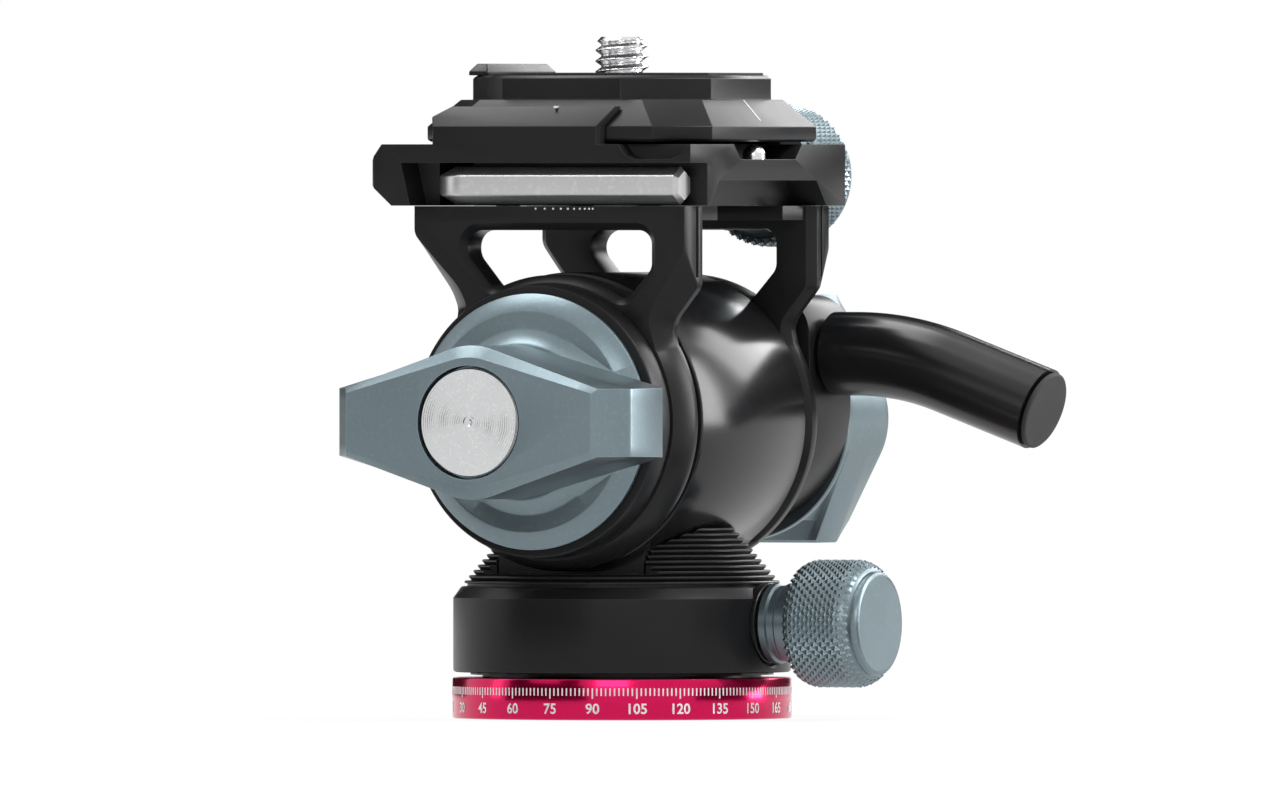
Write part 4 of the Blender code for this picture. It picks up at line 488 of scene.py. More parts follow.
def tick_tree():
    """Printed ticks round a ring on the Z axis, with a longer one at each number."""
    w = growing_tree("Degree ticks", {
        "Radius": 20.2 * MM, "Count": 144, "Per number": 6, "Start angle": 0.0, "Top": 3.8 * MM, "Short": 0.9 * MM,
        "Long": 1.25 * MM, "Width": 0.17 * MM, "Proud": 0.03 * MM})
    index = w.out("GeometryNodeInputIndex")
    angle = w["Start angle"] + index / w["Count"] * math.tau
    cosine, sine = w.maths("COSINE", angle), w.maths("SINE", angle)
    at_number = w.maths("LESS_THAN", w.maths("MODULO", index, w["Per number"]), 0.5)
    length = w["Short"] + at_number * (w["Long"] - w["Short"])
    spot = w.vector(cosine * w["Radius"], sine * w["Radius"], w["Top"] - length * 0.5)
    points = w.out("GeometryNodePoints", {"Count": w["Count"]})
    return finish_tree(w, w.out("GeometryNodeInstanceOnPoints", {
        "Points": w.out("GeometryNodeSetPosition", {"Geometry": points, "Position": spot}),
        "Instance": w.out("GeometryNodeMeshCube"),
        "Rotation": w.out("FunctionNodeAxisAngleToRotation", {"Axis": (0.0, 0.0, 1.0), "Angle": angle}),
        "Scale": w.vector(w["Proud"] * 2.0, w["Width"], length)}))


def thread_tree():
    """A threaded rod on the Z axis with a chamfered end."""
    w = growing_tree("Threaded rod", {
        "Radius": 3.175 * MM, "Pitch": 1.27 * MM, "Depth": 0.7 * MM, "Bottom": 70 * MM, "Top": 81.1 * MM,
        "Chamfer": 0.7 * MM})
    cylinder = w.out("GeometryNodeMeshCylinder", {
        "Vertices": 72, "Side Segments": 130, "Fill Segments": 1, "Radius": 1.0, "Depth": w["Top"] - w["Bottom"],
    }, fill_type="TRIANGLE_FAN")
    x, y, z = w.split(w.out("GeometryNodeInputPosition"))
    height = z + (w["Top"] + w["Bottom"]) * 0.5
    phase = height / w["Pitch"] - w.maths("ARCTAN2", y, x) / math.tau
    ramp = w.maths("PINGPONG", phase, 0.5) * 2.0
    flank = w.clamped((ramp - 0.1) * 1.3)
    from_end = (w["Top"] - height) + (w["Radius"] - w["Chamfer"])
    radius = w.maths("MINIMUM", w["Radius"] - flank * w["Depth"], from_end)
    spread = radius * w.maths("GREATER_THAN", x * x + y * y, 0.25)
    return finish_tree(w, w.out("GeometryNodeSetPosition", {
        "Geometry": cylinder, "Position": w.vector(x * spread, y * spread, height)}))


def bead_tree():
    """Small beads in a row along the X axis, from wide spacing to narrow."""
    w = growing_tree("Bead row", {
        "Count": 10, "Radius": 0.12 * MM, "First step": 1.25 * MM, "Narrowing": 0.045 * MM, "Start": (0, 0, 0)})
    index = w.out("GeometryNodeInputIndex")
    along = index * w["First step"] - index * index * w["Narrowing"]
    spot = w.out("ShaderNodeVectorMath", {0: w.vector(along, 0.0, 0.0), 1: w["Start"]}, operation="ADD")
    points = w.out("GeometryNodePoints", {"Count": w["Count"]})
    return finish_tree(w, w.out("GeometryNodeInstanceOnPoints", {
        "Points": w.out("GeometryNodeSetPosition", {"Geometry": points, "Position": spot}),
        "Instance": w.out("GeometryNodeMeshIcoSphere", {"Radius": w["Radius"], "Subdivisions": 2})}))


# ---------------------------------------------------------------- shared shader effects

def shader_group(name, inputs, *outputs):
    return new_tree("ShaderNodeTree", name, {"Vector": "NodeSocketVector", **inputs},
                    dict.fromkeys(outputs, "NodeSocketFloat"))


def noise(w, vector, scale, detail, roughness=0.5):
    return w.out("ShaderNodeTexNoise", {
        "Vector": vector, "Scale": scale, "Detail": detail, "Roughness": roughness}, "Fac")


def grain_group():
    """Fine bead-blast or anodising grain: its height, its speckle and a slow drift of tone."""
    w = shader_group("Metal grain", {"Grain scale": 6000.0, "Drift scale": 60.0}, "Height", "Drift", "Speckle")
    fine = noise(w, w["Vector"], w["Grain scale"], 2.0, 0.6)
    coarse = noise(w, w["Vector"], w["Grain scale"] * 0.37, 1.0)
    return w.give(Height=fine * 0.65 + coarse * 0.35, Drift=noise(w, w["Vector"], w["Drift scale"], 3.0),
                  Speckle=coarse)


def edge_group():
    """Where an edge is rubbed brighter: a mask from the bevelled normal, broken up by noise."""
    w = shader_group("Edge wear", {"Sharpness": 9.0}, "Mask")
    normals = {0: w.out("ShaderNodeBevel", {"Radius": 0.22 * MM}, samples=6),
               1: w.out("ShaderNodeNewGeometry", output="Normal")}
    bend = 1.0 - w.out("ShaderNodeVectorMath", normals, "Value", operation="DOT_PRODUCT")
    return w.give(Mask=w.clamped(bend * w["Sharpness"] * noise(w, w["Vector"], 700.0, 3.0)))


def handling_group():
    """Faint smears from hands: a mask that lifts the roughness in soft patches."""
    w = shader_group("Handling", {"Patch scale": 90.0}, "Mask")
    patches = noise(w, w["Vector"], w["Patch scale"], 4.0, 0.55)
    return w.give(Mask=patches * 0.75 + noise(w, w["Vector"], 420.0, 2.0) * 0.25)


def lathe_group():
    """Turning marks: rings round the Z axis of the given vector, as height and tone."""
    w = shader_group("Turning marks", {"Pitch": 0.12 * MM}, "Height", "Tone")
    x, y, z = w.split(w["Vector"])
    turns = (w.maths("SQRT", x * x + y * y) + z) / w["Pitch"]
    tone = w.out("ShaderNodeTexNoise", {"W": turns, "Scale": 0.7, "Detail": 3.0}, "Fac", noise_dimensions="1D")
    return w.give(Height=w.maths("PINGPONG", turns, 0.5) * 2.0, Tone=tone)


MADE = {}


def once(name, make, *values, **named):
    """Something shared, built the first time it is asked for."""
    if name not in MADE:
        MADE[name] = make(*values, **named)
    return MADE[name]


def place_effect(w, group, vector, **values):
    """One of the shared effects in a material."""
    node = w.tree.nodes.new("ShaderNodeGroup")
    node.node_tree = once(group.__name__, group)
    for label, value in {"Vector": vector, **values}.items():
        w.feed(node.inputs[label.replace("_", " ")], value)
    return {socket.name: Value(w, socket) for socket in node.outputs}


def mixed_colour(w, share, first, second):
    """A colour between two, by a share that varies over the surface."""
    links = {0: share}
    for i, colour in ((6, first), (7, second)):
        links[i] = colour if isinstance(colour, Value) else (*colour, 1)
    return w.out("ShaderNodeMix", links, 2, data_type="RGBA")


def ranged(w, value, low, high, from_low=0.0, from_high=1.0):
    return w.out("ShaderNodeMapRange", {
        "Value": value, "From Min": from_low, "From Max": from_high, "To Min": low, "To Max": high}, "Result")


def material(name):
    made = bpy.data.materials.new(name)
    made.use_nodes = True
    return made, Wires(made.node_tree)


def metal_finish(name, colour, metallic, rough, grain_scale, grain_depth, drift=0.1, wear=0.3, wear_colour=None,
                 specular=0.5, coat=0.0, coat_rough=0.1, marks=None):
    """An anodised, blasted or plated surface with grain, tone drift, smears and rubbed edges."""
    made, w = material(name)
    shader = w.tree.nodes["Principled BSDF"].inputs
    shader["Metallic"].default_value = metallic
    shader["Specular IOR Level"].default_value = specular
    shader["Coat Weight"].default_value = coat
    shader["Coat Roughness"].default_value = coat_rough

    def toned(factor, extra=0.0):
        return tuple(min(c * factor + extra, 1) for c in colour)

    place = w.out("ShaderNodeTexCoord", output="Object")
    grain = place_effect(w, grain_group, place, Grain_scale=grain_scale)
    tone = mixed_colour(w, ranged(w, grain["Drift"], 0, 1, 0.3, 0.7), toned(1 - drift), toned(1 + drift))
    tone = mixed_colour(w, ranged(w, grain["Speckle"], 0, 0.35, 0.55, 0.85), tone, toned(1.5))
    if wear:
        worn = place_effect(w, edge_group, place)["Mask"] * wear
        tone = mixed_colour(w, worn, tone, wear_colour or toned(2.2, 0.02))
    roughness = ranged(w, place_effect(w, handling_group, place)["Mask"], rough * 0.9, rough * 1.12, 0.3, 0.7)
    height = grain["Height"]
    if marks:
        pitch, depth, centre = marks
        turn = Euler((math.pi / 2, 0, 0))
        mapping = w.out("ShaderNodeMapping", {
            "Vector": place, "Rotation": turn, "Location": turn.to_matrix() @ Vector(centre) * -MM})
        lathe = place_effect(w, lathe_group, mapping, Pitch=pitch * MM)
        roughness = roughness * ranged(w, lathe["Tone"], 0.8, 1.2)
        height = height + lathe["Height"] * (depth / grain_depth)
    w.feed(shader["Base Color"], tone)
    w.feed(shader["Roughness"], roughness)
    w.feed(shader["Normal"], w.out("ShaderNodeBump", {
        "Strength": 1.0, "Distance": grain_depth * MM, "Height": height}))
    return made


# Each look's material slot and its values for metal_finish. A colour's name is one of HeadColours, and where
# looks share a slot, the first is the one that the nodes of the frame get.
LOOKS = {
    "black": ("black_anodised", {"wear": 0.35, "wear_colour": (0.1, 0.1, 0.105), "specular": 0.18},
              "Black anodised", "black", 0.25, 0.33, 7000, 0.004),
    "drum": ("satin_black", {"wear": 0.2, "wear_colour": (0.07, 0.07, 0.075), "specular": 0.35},
             "Smooth black", "drum_black", 0.25, 0.2, 9000, 0.0015),
    "handle": ("black_anodised", {"wear": 0}, "Handle black", "drum_black", 0.2, 0.22, 8000, 0.0015),
    "blasted": ("blue_grey_anodised", {"drift": 0.05, "wear": 0.5, "wear_colour": (0.42, 0.48, 0.52)},
                "Blasted blue-grey", "blue_grey", 0.85, 0.34, 5200, 0.012),
    "rose": ("rose_red_anodised",
             {"drift": 0.05, "wear": 0.25, "wear_colour": (0.85, 0.25, 0.35), "coat": 0.2, "coat_rough": 0.05},
             "Rose-red anodised", "rose_red", 0.9, 0.18, 9000, 0.001),
    "spun": ("spun_silver", {"drift": 0.03, "wear": 0.2, "marks": (0.3, 0.016, TILT_CENTRE)},
             "Spun silver", "silver", 1.0, 0.14, 9000, 0.001),
    "plated": ("plated_steel", {"drift": 0.04, "wear": 0.2}, "Plated steel", "steel", 1.0, 0.2, 8000, 0.0015),
    "key": ("plated_steel", {"drift": 0.04, "wear": 0.3}, "Key steel", (0.5, 0.5, 0.5), 0.9, 0.34, 4200, 0.01),
    "bronze": ("bearing_bronze", {"wear": 0.2}, "Turned bronze", (0.5, 0.33, 0.14), 1.0, 0.35, 6000, 0.003),
    "rubber": ("black_rubber", {"drift": 0.15, "wear": 0},
               "Black rubber", (0.016, 0.016, 0.017), 0.0, 0.72, 3600, 0.02),
    "fibre": ("friction_fibre", {"drift": 0.2, "wear": 0},
              "Friction fibre", (0.2, 0.17, 0.13), 0.0, 0.8, 2500, 0.03),
    "ink": ("spun_silver", {"drift": 0.03, "wear": 0}, "White ink", "ink", 0.0, 0.5, 5000, 0.003),
}


def finish(look):
    """The material of a look."""
    named, name, colour, *values = LOOKS[look][1:]
    if isinstance(colour, str):
        colour = tuple(getattr(colours(), colour))
    return once(look, metal_finish, name, colour, *values, **named)


class HEAD_OT_frame_finishes(bpy.types.Operator):
    """Give every part that stays from the frame the finish of its material slot"""
    bl_idname = "head.frame_finishes"
    bl_label = "Frame finishes"

    def execute(self, context):
        looks = {LOOKS[look][0]: look for look in reversed(LOOKS)}
        for entry in frame["record"]["subparts"]:
            part = frame["nodes"][entry["node"]]
            look = finish(looks[entry["material_slot"]])
            if part.material_slots:
                for holder in part.material_slots:
                    holder.material = look
            else:
                part.data.materials.append(look)
        return {"FINISHED"}


# ---------------------------------------------------------------- base and pan housing

def ring_numbers(name, labels, height, radius, middle):
    """Flat numbers wrapped onto a ring, as triangles that look away from the pan axis, in metres."""
    whole = bmesh.new()
    scale = height / 0.7  # a digit is 0.7 of the font's size high
    for text, angle in labels:
        curve = bpy.data.curves.new("label", "FONT")
        curve.body = text
        curve.align_x = curve.align_y = "CENTER"
        curve.size = 1.0
        curve.offset = 0.02
        curve.resolution_u = 3
        carrier = placed("label", curve)
        mesh = evaluated(carrier)
        bpy.data.objects.remove(carrier)
        bpy.data.curves.remove(curve)
        data = bmesh.new()
        data.from_mesh(mesh)
        bmesh.ops.triangulate(data, faces=data.faces)
        for vert in data.verts:
            turn = angle + vert.co.x * scale / radius
            vert.co = (radius * math.cos(turn), radius * math.sin(turn), middle + vert.co.y * scale)
        data.to_mesh(mesh)
        data.free()
        whole.from_mesh(mesh)
        bpy.data.meshes.remove(mesh)
    for face in whole.faces:
        centre = face.calc_center_median()
        if face.normal.x * centre.x + face.normal.y * centre.y < 0:
            face.normal_flip()
    return placed(name, mesh_from(name, whole))


class HEAD_OT_scale_ring(bpy.types.Operator):
    """Make the red degree ring with its ticks and numbers"""
    bl_idname = "head.scale_ring"
    bl_label = "Scale ring"

    def execute(self, context):
        radius, _, top = span("scale_ring")[1]
        bore = 16.9
        profile = [(bore, 0)] + rim(radius, 0, top, 0.25) + [(bore, top)]
        piece("scale_ring_turned", turned("Z", profile), "rose", "base", "scale_ring")
        size = sizes()
        ticks = grown("scale_ticks", tick_tree(), {
            "Radius": radius * MM, "Count": round(math.tau / size.degree_step),
            "Per number": size.ticks_per_number, "Start angle": SCALE_START, "Width": size.tick_width,
            "Material": finish("ink")})
        dress(ticks, "ink", "base")
        step = size.degree_step * size.ticks_per_number
        turns = [step * i for i in range(round(math.tau / step))]
        labels = [(str(round(math.degrees(turn))), SCALE_START + turn) for turn in turns]
        numbers = ring_numbers("scale_numbers", labels, size.number_height, (radius + 0.03) * MM, 1.3 * MM)
        dress(numbers, "ink", "base")
        return {"FINISHED"}


class HEAD_OT_base_underside(bpy.types.Operator):
    """Make the plate and the threaded bushing that stand on the tripod"""
    bl_idname = "head.base_underside"
    bl_label = "Base underside"

    def execute(self, context):
        outer = span("base_plate")[1]
        hub, floor_top, bore, edge = 9.5, 5.2, 6.3, 0.2
        profile = [(bore, 0)]
        for groove in (8.2, 9.8, 11.4, 13.0, 14.6):
            profile += [(groove, 0), (groove, 0.3), (groove + 0.35, 0.3), (groove + 0.35, 0)]
        profile += [(outer.x - edge, 0), (outer.x, edge), (outer.x, floor_top), (hub, floor_top)]
        profile += [(hub, outer.z), (bore, outer.z)]
        piece("base_plate_turned", turned("Z", profile), "black", "base", "base_plate")

        outer = span("tripod_bushing")[1]
        crest, root, pitch = 4.4, 4.75, 1.5875
        wall = [(outer.x, 0.15), (outer.x, outer.z), (crest, outer.z)]
        for i in range(int((outer.z - 0.8) / pitch), 0, -1):
            height = 0.6 + pitch * i
            wall += [(root, height), (crest, height - pitch / 2)]
        wall += [(root, 0.2), (5.0, 0), (outer.x - 0.15, 0)]
        piece("tripod_bushing_turned", turned("Z", wall, sides=FINE), "plated", "base", "tripod_bushing")
        return {"FINISHED"}


class HEAD_OT_pan_housing(bpy.types.Operator):
    """Make the panning body with its ribbed cone and the seat of its lock"""
    bl_idname = "head.pan_housing"
    bl_label = "Pan housing"

    def execute(self, context):
        low = span("pan_housing")[0]
        radius, bottom, wall = -low.x, low.z, 17.9
        band_top = 14.45
        shoulder, shoulder_top = radius - 1.0, band_top + 1.25
        rib, step, pitch, thick, groove, nose = 18.76, 0.53, 0.63, 0.32, 0.35, 0.09
        first_low = shoulder_top + groove
        profile = [(wall, bottom)] + rim(radius, bottom, band_top, 0.3)[:3]
        profile += [(radius, band_top - 0.1), (radius - 0.1, band_top), (shoulder + 0.1, shoulder_top - 0.12)]
        profile += [(shoulder - 0.1, shoulder_top), (rib - groove, shoulder_top), (rib - groove, first_low)]
        for i in range(sizes().rib_count):
            tip = rib - step * i
            at = first_low + pitch * i
            top = at + thick
            profile += [(tip - nose, at), (tip, at + nose), (tip, top - nose), (tip - nose, top)]
            profile.append((tip - step - groove, top))
        hub, web_bottom, well = 3.3, 13.8, 15.6
        profile += [(hub, top), (hub, web_bottom), (well, web_bottom), (well, 7.0), (wall, 7.0)]
        web_top, neck_x, neck_y = 17.3, 9.95, 13.3
        reach = radius + OVERRUN
        half = [(-reach, -reach), (reach, -reach), (reach, -neck_y), (neck_x, -neck_y), (neck_x, neck_y)]
        half += [(reach, neck_y)]
        pocket = prism("Z", half + [(-x, -y) for x, y in half], web_top, TILT_HEIGHT)
        trough = rod("Y", 18.0, -reach, reach, TILT_CENTRE, ROUND)
        hole = rod("X", 2.8, 13, reach, PAN_KNOB_CENTRE)
        seat = turned("X", [(0, radius - 1.2), (5.1, radius - 1.2), (5.1, radius - 0.25), (5.6, radius + 0.3),
                            (5.6, reach), (0, reach)], PAN_KNOB_CENTRE, FINE)
        piece("pan_housing_turned", turned("Z", profile), "black", "pan", "pan_housing",
              cuts=(pocket, trough, hole, seat))
        return {"FINISHED"}


# ---------------------------------------------------------------- tilt drum and yoke

class HEAD_OT_tilt_drum(bpy.types.Operator):
    """Make the fluid drum with the neck that it stands on"""
    bl_idname = "head.tilt_drum"
    bl_label = "Tilt drum"

    def execute(self, context):
        half = span("tilt_housing")[1].y
        radius, shaft, well, well_floor = 17.7, 6.9, 11.4, -9.5
        profile = [(shaft, -half)] + rim(radius, -half, half, 0.35)
        profile += [(well, half), (well, well_floor), (shaft, well_floor)]
        neck_x, neck_y, fillet, bottom = 9.65, 13.3, 2.5, 17.33
        outer = radius + fillet
        fillet_z = TILT_HEIGHT - math.sqrt(outer ** 2 - (neck_x + fillet) ** 2)
        touch = math.degrees(math.asin((TILT_HEIGHT - fillet_z) / outer))
        right = [(neck_x, bottom)] + arc((neck_x + fillet, fillet_z), fillet, 180, 180 - touch, 12)
        last = right[-1]
        right.append((last[0] - 2.1, last[1] + 2.1))
        neck = prism("Y", right + [(-x, z) for x, z in reversed(right)], -neck_y, neck_y)
        recess = rod("Z", 6.3, bottom - OVERRUN, 21.6)
        piece("tilt_drum", turned("Y", profile, TILT_CENTRE), "drum", "pan", "tilt_housing",
              cuts=(recess,), joins=(neck,))
        return {"FINISHED"}


def hip(side, half, shoulder, waist, waist_z):
    """One side of a yoke plate, from its top corner down to its waist."""
    points = [(half, shoulder + 1.5), (half, shoulder)]
    for across, down in ((0.22, 0.2), (0.85, 0.75), (1, 1)):
        points.append((half - (half - waist) * across, shoulder - (shoulder - waist_z) * down))
    points.append((waist, waist_z - 1.2))
    return [(side * x, z) for x, z in [(half, PLATE_TOP)] + eased(points, 2.2)]


def plate_outline(half, radius, right, left):
    """A yoke plate's outline, down its right side, round its ring and up its left side."""
    return hip(1, half, *right) + arc((0, TILT_HEIGHT), radius, 31, -219, 144) + hip(-1, half, *left)[::-1]


def plate_window(grow):
    """The window above the drum, up to its rounds and down to the ring it leaves free."""
    top, ring = 58.1 + grow, 17.4 - grow
    left, right, left_valley, right_valley = (corner + grow for corner in (2.1, 1.7, 1.6, 1.2))
    left_x, right_x, slope = 7.3, 9.6, 42
    left_tilt = math.degrees(math.asin(left_x / (ring + left_valley)))
    right_tilt = math.degrees(math.asin(right_x / (ring + right_valley)))
    left_z = TILT_HEIGHT + (ring + left_valley) * math.cos(math.radians(left_tilt))
    right_z = TILT_HEIGHT + (ring + right_valley) * math.cos(math.radians(right_tilt))
    corner = (13.2 + grow - right, top - right)
    points = arc((left - 11.3 - grow, top - left), left, 90, 180 + slope, 16)
    points += arc((-left_x, left_z), left_valley, 180 + slope, 270 + left_tilt, 10)
    points += arc((0, TILT_HEIGHT), ring, 90 + left_tilt, 90 - right_tilt, 28)[1:-1]
    points += arc((right_x, right_z), right_valley, 270 - right_tilt, 360 - slope, 10)
    points += arc((corner[0], corner[1] - 2.2), right, -slope, 0, 8)
    return points + arc(corner, right, 0, 90, 12)


def yoke_plate(name, side, node):
    """A windowed plate of the yoke with its foot, its shaft hole and a groove down each end."""
    edge = plate_outline(PLATE_HALF, PLATE_RING, (51.4, 15, 46.6), (56.4, 13.6, 49))
    face = plate_outline(PLATE_HALF - 0.4, PLATE_RING - 1.3, (55.4, 13.3, 47.6), (57.6, 11.1, 49.4))
    bevel, lip = 1.0, 0.9
    inner = [(x - math.copysign(bevel, x), z) for x, z in edge]
    layers = [(PLATE_INNER, inner), (PLATE_INNER + bevel, edge), (PLATE_OUTER - 2.8, edge), (PLATE_OUTER, face)]
    foot_x = PLATE_HALF - bevel - GAP
    foot_y = sorted((side * (PLATE_INNER + OVERRUN), side * (PLATE_INNER - 5.5)))
    foot = box((-foot_x, foot_x), foot_y, (59.3, PLATE_TOP))
    window = [(PLATE_INNER - OVERRUN, plate_window(lip)), (PLATE_INNER + lip, plate_window(0)),
              (PLATE_OUTER - lip, plate_window(0)), (PLATE_OUTER + GAP, plate_window(lip + GAP))]
    through = sorted((side * (PLATE_INNER - OVERRUN), side * (PLATE_OUTER + OVERRUN)))
    cuts = [layered("Y", [(side * along, outline) for along, outline in window]),
            rod("Y", 4.3, *through, TILT_CENTRE)]
    for end in (-1, 1):
        groove = ((PLATE_HALF + OVERRUN, 15.9), (PLATE_HALF + OVERRUN, 16.8), (PLATE_HALF - 0.5, 16.6),
                  (PLATE_HALF - 0.5, 16.1))
        cuts.append(prism("Z", [(end * x, side * y) for x, y in groove], 52.5, PLATE_TOP + OVERRUN))
    piece(name, layered("Y", [(side * along, outline) for along, outline in layers]), "black", "tilt", node,
          cuts=cuts, joins=(foot,), bevel=0.1)


class HEAD_OT_yoke(bpy.types.Operator):
    """Make the two windowed yoke plates, the beads on the near one and the ring behind the tilt knob"""
    bl_idname = "head.yoke"
    bl_label = "Yoke"

    def execute(self, context):
        yoke_plate("yoke_plate_near", -1, "side_plate_near")
        yoke_plate("yoke_plate_far", 1, "side_plate_far")
        start = (-1.8 * MM, -PLATE_OUTER * MM, 60.65 * MM)
        beads = grown("plate_bead_row", bead_tree(), {
            "Radius": 0.13 * MM, "Start": start, "Material": finish("ink")})
        dress(beads, "ink", "tilt")
        bore, radius, outer, inner = 12.6, 16.2, -22.8, -PLATE_OUTER - GAP
        profile = [(bore, inner), (radius, inner)] + rim(radius, outer, inner, 0.35)[2::-1] + [(bore, outer)]
        piece("tilt_lock_ring", turned("Y", profile, TILT_CENTRE), "black", "tilt", "tilt_hub_ring")
        return {"FINISHED"}


# ---------------------------------------------------------------- wing knobs

def wing_outline(hub, reach, tip_half, upright):
    """A wing bar seen from its front: a round hub with straight flanks to two square tips."""
    lean = math.degrees(math.asin(min(hub / math.hypot(reach, tip_half), 1)) - math.atan2(tip_half, reach))
    flank_end = Vector(arc((0, 0), hub, 90 - lean, 90 + lean, 1)[0])
    tip = Vector((reach, tip_half))
    upper = [tuple(tip.lerp(flank_end, k / 6)) for k in range(1, 6)]
    right = [(reach, -tip_half * k / 3) for k in (3, 2, 1, 0, -1, -2, -3)]
    half = right + upper + arc((0, 0), hub, 90 - lean, 90 + lean, 28) + [(-x, z) for x, z in reversed(upper)]
    whole = half + [(-x, -z) for x, z in half]
    return [(-z, x) for x, z in whole] if upright else whole


def wing_knob(name, body, node, side, back, front, disc_radius, reach, hub, tip_back, upright):
    """A wing knob with its silver cap: a disc with a chamfered rim, a filleted hub and a bar with rolled tips."""
    rim_high, rim_deep, rim_wide, edge = 0.8, 1.3, 2.15, 0.15
    face = back + rim_high + rim_deep
    slope_end = disc_radius - rim_wide
    disc = [(0, back), (disc_radius - edge, back), (disc_radius, back + edge),
            (disc_radius, back + rim_high - edge), (disc_radius - edge, back + rim_high),
            (slope_end + edge, face - edge / 2), (slope_end - edge, face), (0, face)]
    tip, chamfer, roll, roll_deep, roll_high, ease, flare = 3.5, 1.4, 3.2, 4.6, 0.75, 0.32, 2.6
    wide = hub + chamfer
    inner = min(slope_end - GAP, reach)
    rows = []  # (along, hub, reach, half width of the tip)
    for share in (k / 6 for k in range(7)):
        grow = flare * (1 - math.sin(math.pi / 2 * share)) ** 1.2
        rows.append((face - 0.2 + (tip_back - face) * share, wide + grow, inner, tip + 0.7 + grow * 0.5))
    low = front - roll_deep
    slope = front - chamfer * 0.6 - low - roll_high
    rows += [(tip_back + 0.01, wide, reach - 0.3, tip + 0.6), (tip_back + 0.3, wide, reach, tip + 0.6),
             (low, wide, reach, tip + 0.5), (low + 0.4, wide, reach - 0.08, tip + 0.5)]
    for share in (k / 4 for k in range(5)):
        out = reach - ease - (roll - 0.9) * share ** 0.92
        rows.append((low + roll_high + slope * share, wide, out, tip + 0.5))
    rows += [(front - 0.08, hub + 0.1, reach - roll + 0.12, tip + 0.05), (front, hub, reach - roll, tip)]
    layers = []
    for along, *row in rows:
        layers.append((side * along, [(x, z + TILT_HEIGHT) for x, z in wing_outline(*row, upright)]))
    recess = rod("Y", 6.75, *sorted((side * (front - 1.9), side * (front + OVERRUN))), TILT_CENTRE, ROUND)
    bore = rod("Y", 2.8, *sorted((side * (back - OVERRUN), side * (back + 12.3))), TILT_CENTRE)
    piece(f"{name}_wing_knob", turned("Y", [(radius, side * along) for radius, along in disc], TILT_CENTRE),
          "blasted", body, node, cuts=(recess, bore), joins=(layered("Y", layers),),
          bevel=sizes().edge_break / MM, segments=3, bevel_angle=24)

    radius, top, pitch, depth = 6.45, front - 0.2, 0.26, 0.022
    profile = [(0, top - 1.4), (radius, top - 1.4), (radius, top - 0.15), (radius - 0.15, top)]
    at = radius - 0.35
    while at > 0.7:
        profile += [(at, top - depth), (at - pitch / 2, top)]
        at -= pitch
    profile += [(0.45, top), (0.2, top - 0.22), (0, top - 0.25)]
    cap = turned("Y", [(r, side * along) for r, along in profile], TILT_CENTRE, 128)
    piece(f"{name}_knob_spun_cap", cap, "spun", body, f"{node}_cap")


class HEAD_OT_wing_knobs(bpy.types.Operator):
    """Make the tilt lock and handle lock wing knobs with their silver caps"""
    bl_idname = "head.wing_knobs"
    bl_label = "Wing knobs"

    def execute(self, context):
        low, high = span("tilt_knob")
        wing_knob("tilt", "tilt_lock", "tilt_knob", -1, -high.y, -low.y, 15.2, high.x, 7.7, 27.2, False)
        low, high = span("handle_knob")
        wing_knob("handle", "handle_lock", "handle_knob", 1, low.y, high.y, 14.6, high.z - TILT_HEIGHT, 7.9, 43.2,
                  True)
        return {"FINISHED"}


# ---------------------------------------------------------------- handle

class HEAD_OT_handle(bpy.types.Operator):
    """Make the handle block, the bent tube and the plug in its end"""
    bl_idname = "head.handle"
    bl_label = "Handle"

    def execute(self, context):
        low, high = span("handle_block")
        half, centre_height, corner = high.x, 37.4, 4.7
        tube_y, tube_z, tube_radius = 25.7, 43.3, 5
        outline = arc((0, centre_height), half, 180, 360, 96)
        outline += arc((half - corner, high.z - corner), corner, 0, 90, 14)
        outline += arc((corner - half, high.z - corner), corner, 90, 180, 14)
        socket = rod("X", 3.7, half - 9.3, half + OVERRUN, (0, tube_y, tube_z))
        bore = rod("Y", 2.8, low.y - OVERRUN, high.y + OVERRUN, TILT_CENTRE)
        piece("handle_clamp_block", prism("Y", outline, low.y, high.y), "black", "handle", "handle_block",
              cuts=(socket, bore), bevel=0.35, segments=3)

        bend, bend_start, bend_radius = math.radians(20), 18.5, 36
        start = half + GAP
        across = Vector((0, 1, 0))
        spigot = 0.66  # share of the tube's radius that stands in the block
        stations = []
        straight = ((half - 9, spigot), (start, spigot), (start + 0.01, 0.96), (start + 0.25, 1), (bend_start, 1))
        for x, share in straight:
            stations.append((Vector((x, tube_y, tube_z)), across, Vector((0, 0, 1)), share))
        for angle in (bend * i / 24 for i in range(1, 25)):
            sine, cosine = math.sin(angle), math.cos(angle)
            place = Vector((bend_start + bend_radius * sine, tube_y, tube_z - bend_radius * (1 - cosine)))
            stations.append((place, across, Vector((sine, 0, cosine)), 1))
        run = Vector((math.cos(bend), 0, -math.sin(bend)))
        up = Vector((math.sin(bend), 0, math.cos(bend)))
        end = stations[-1][0] + run * 12.7
        stations.append((end, across, up, 1))
        bore = swept([(end + run * along, across, up, 1) for along in (-9.5, OVERRUN)], circle(3.8))
        piece("handle_bent_tube", swept(stations, circle(tube_radius, 96)), "handle", "handle", "handle_tube",
              cuts=(bore,))
        stem, face, wide = 0.72, 0.9, 0.94  # shares of the tube's radius
        rows = ((-9, stem), (GAP, stem), (GAP + 0.01, face), (GAP + 0.1, wide), (GAP + 0.45, wide),
                (GAP + 0.6, face))
        plug = swept([(end + run * along, across, up, share) for along, share in rows], circle(tube_radius, 72))
        piece("handle_plug", plug, "rubber", "handle", "handle_end_plug")
        return {"FINISHED"}


# ---------------------------------------------------------------- pan lock

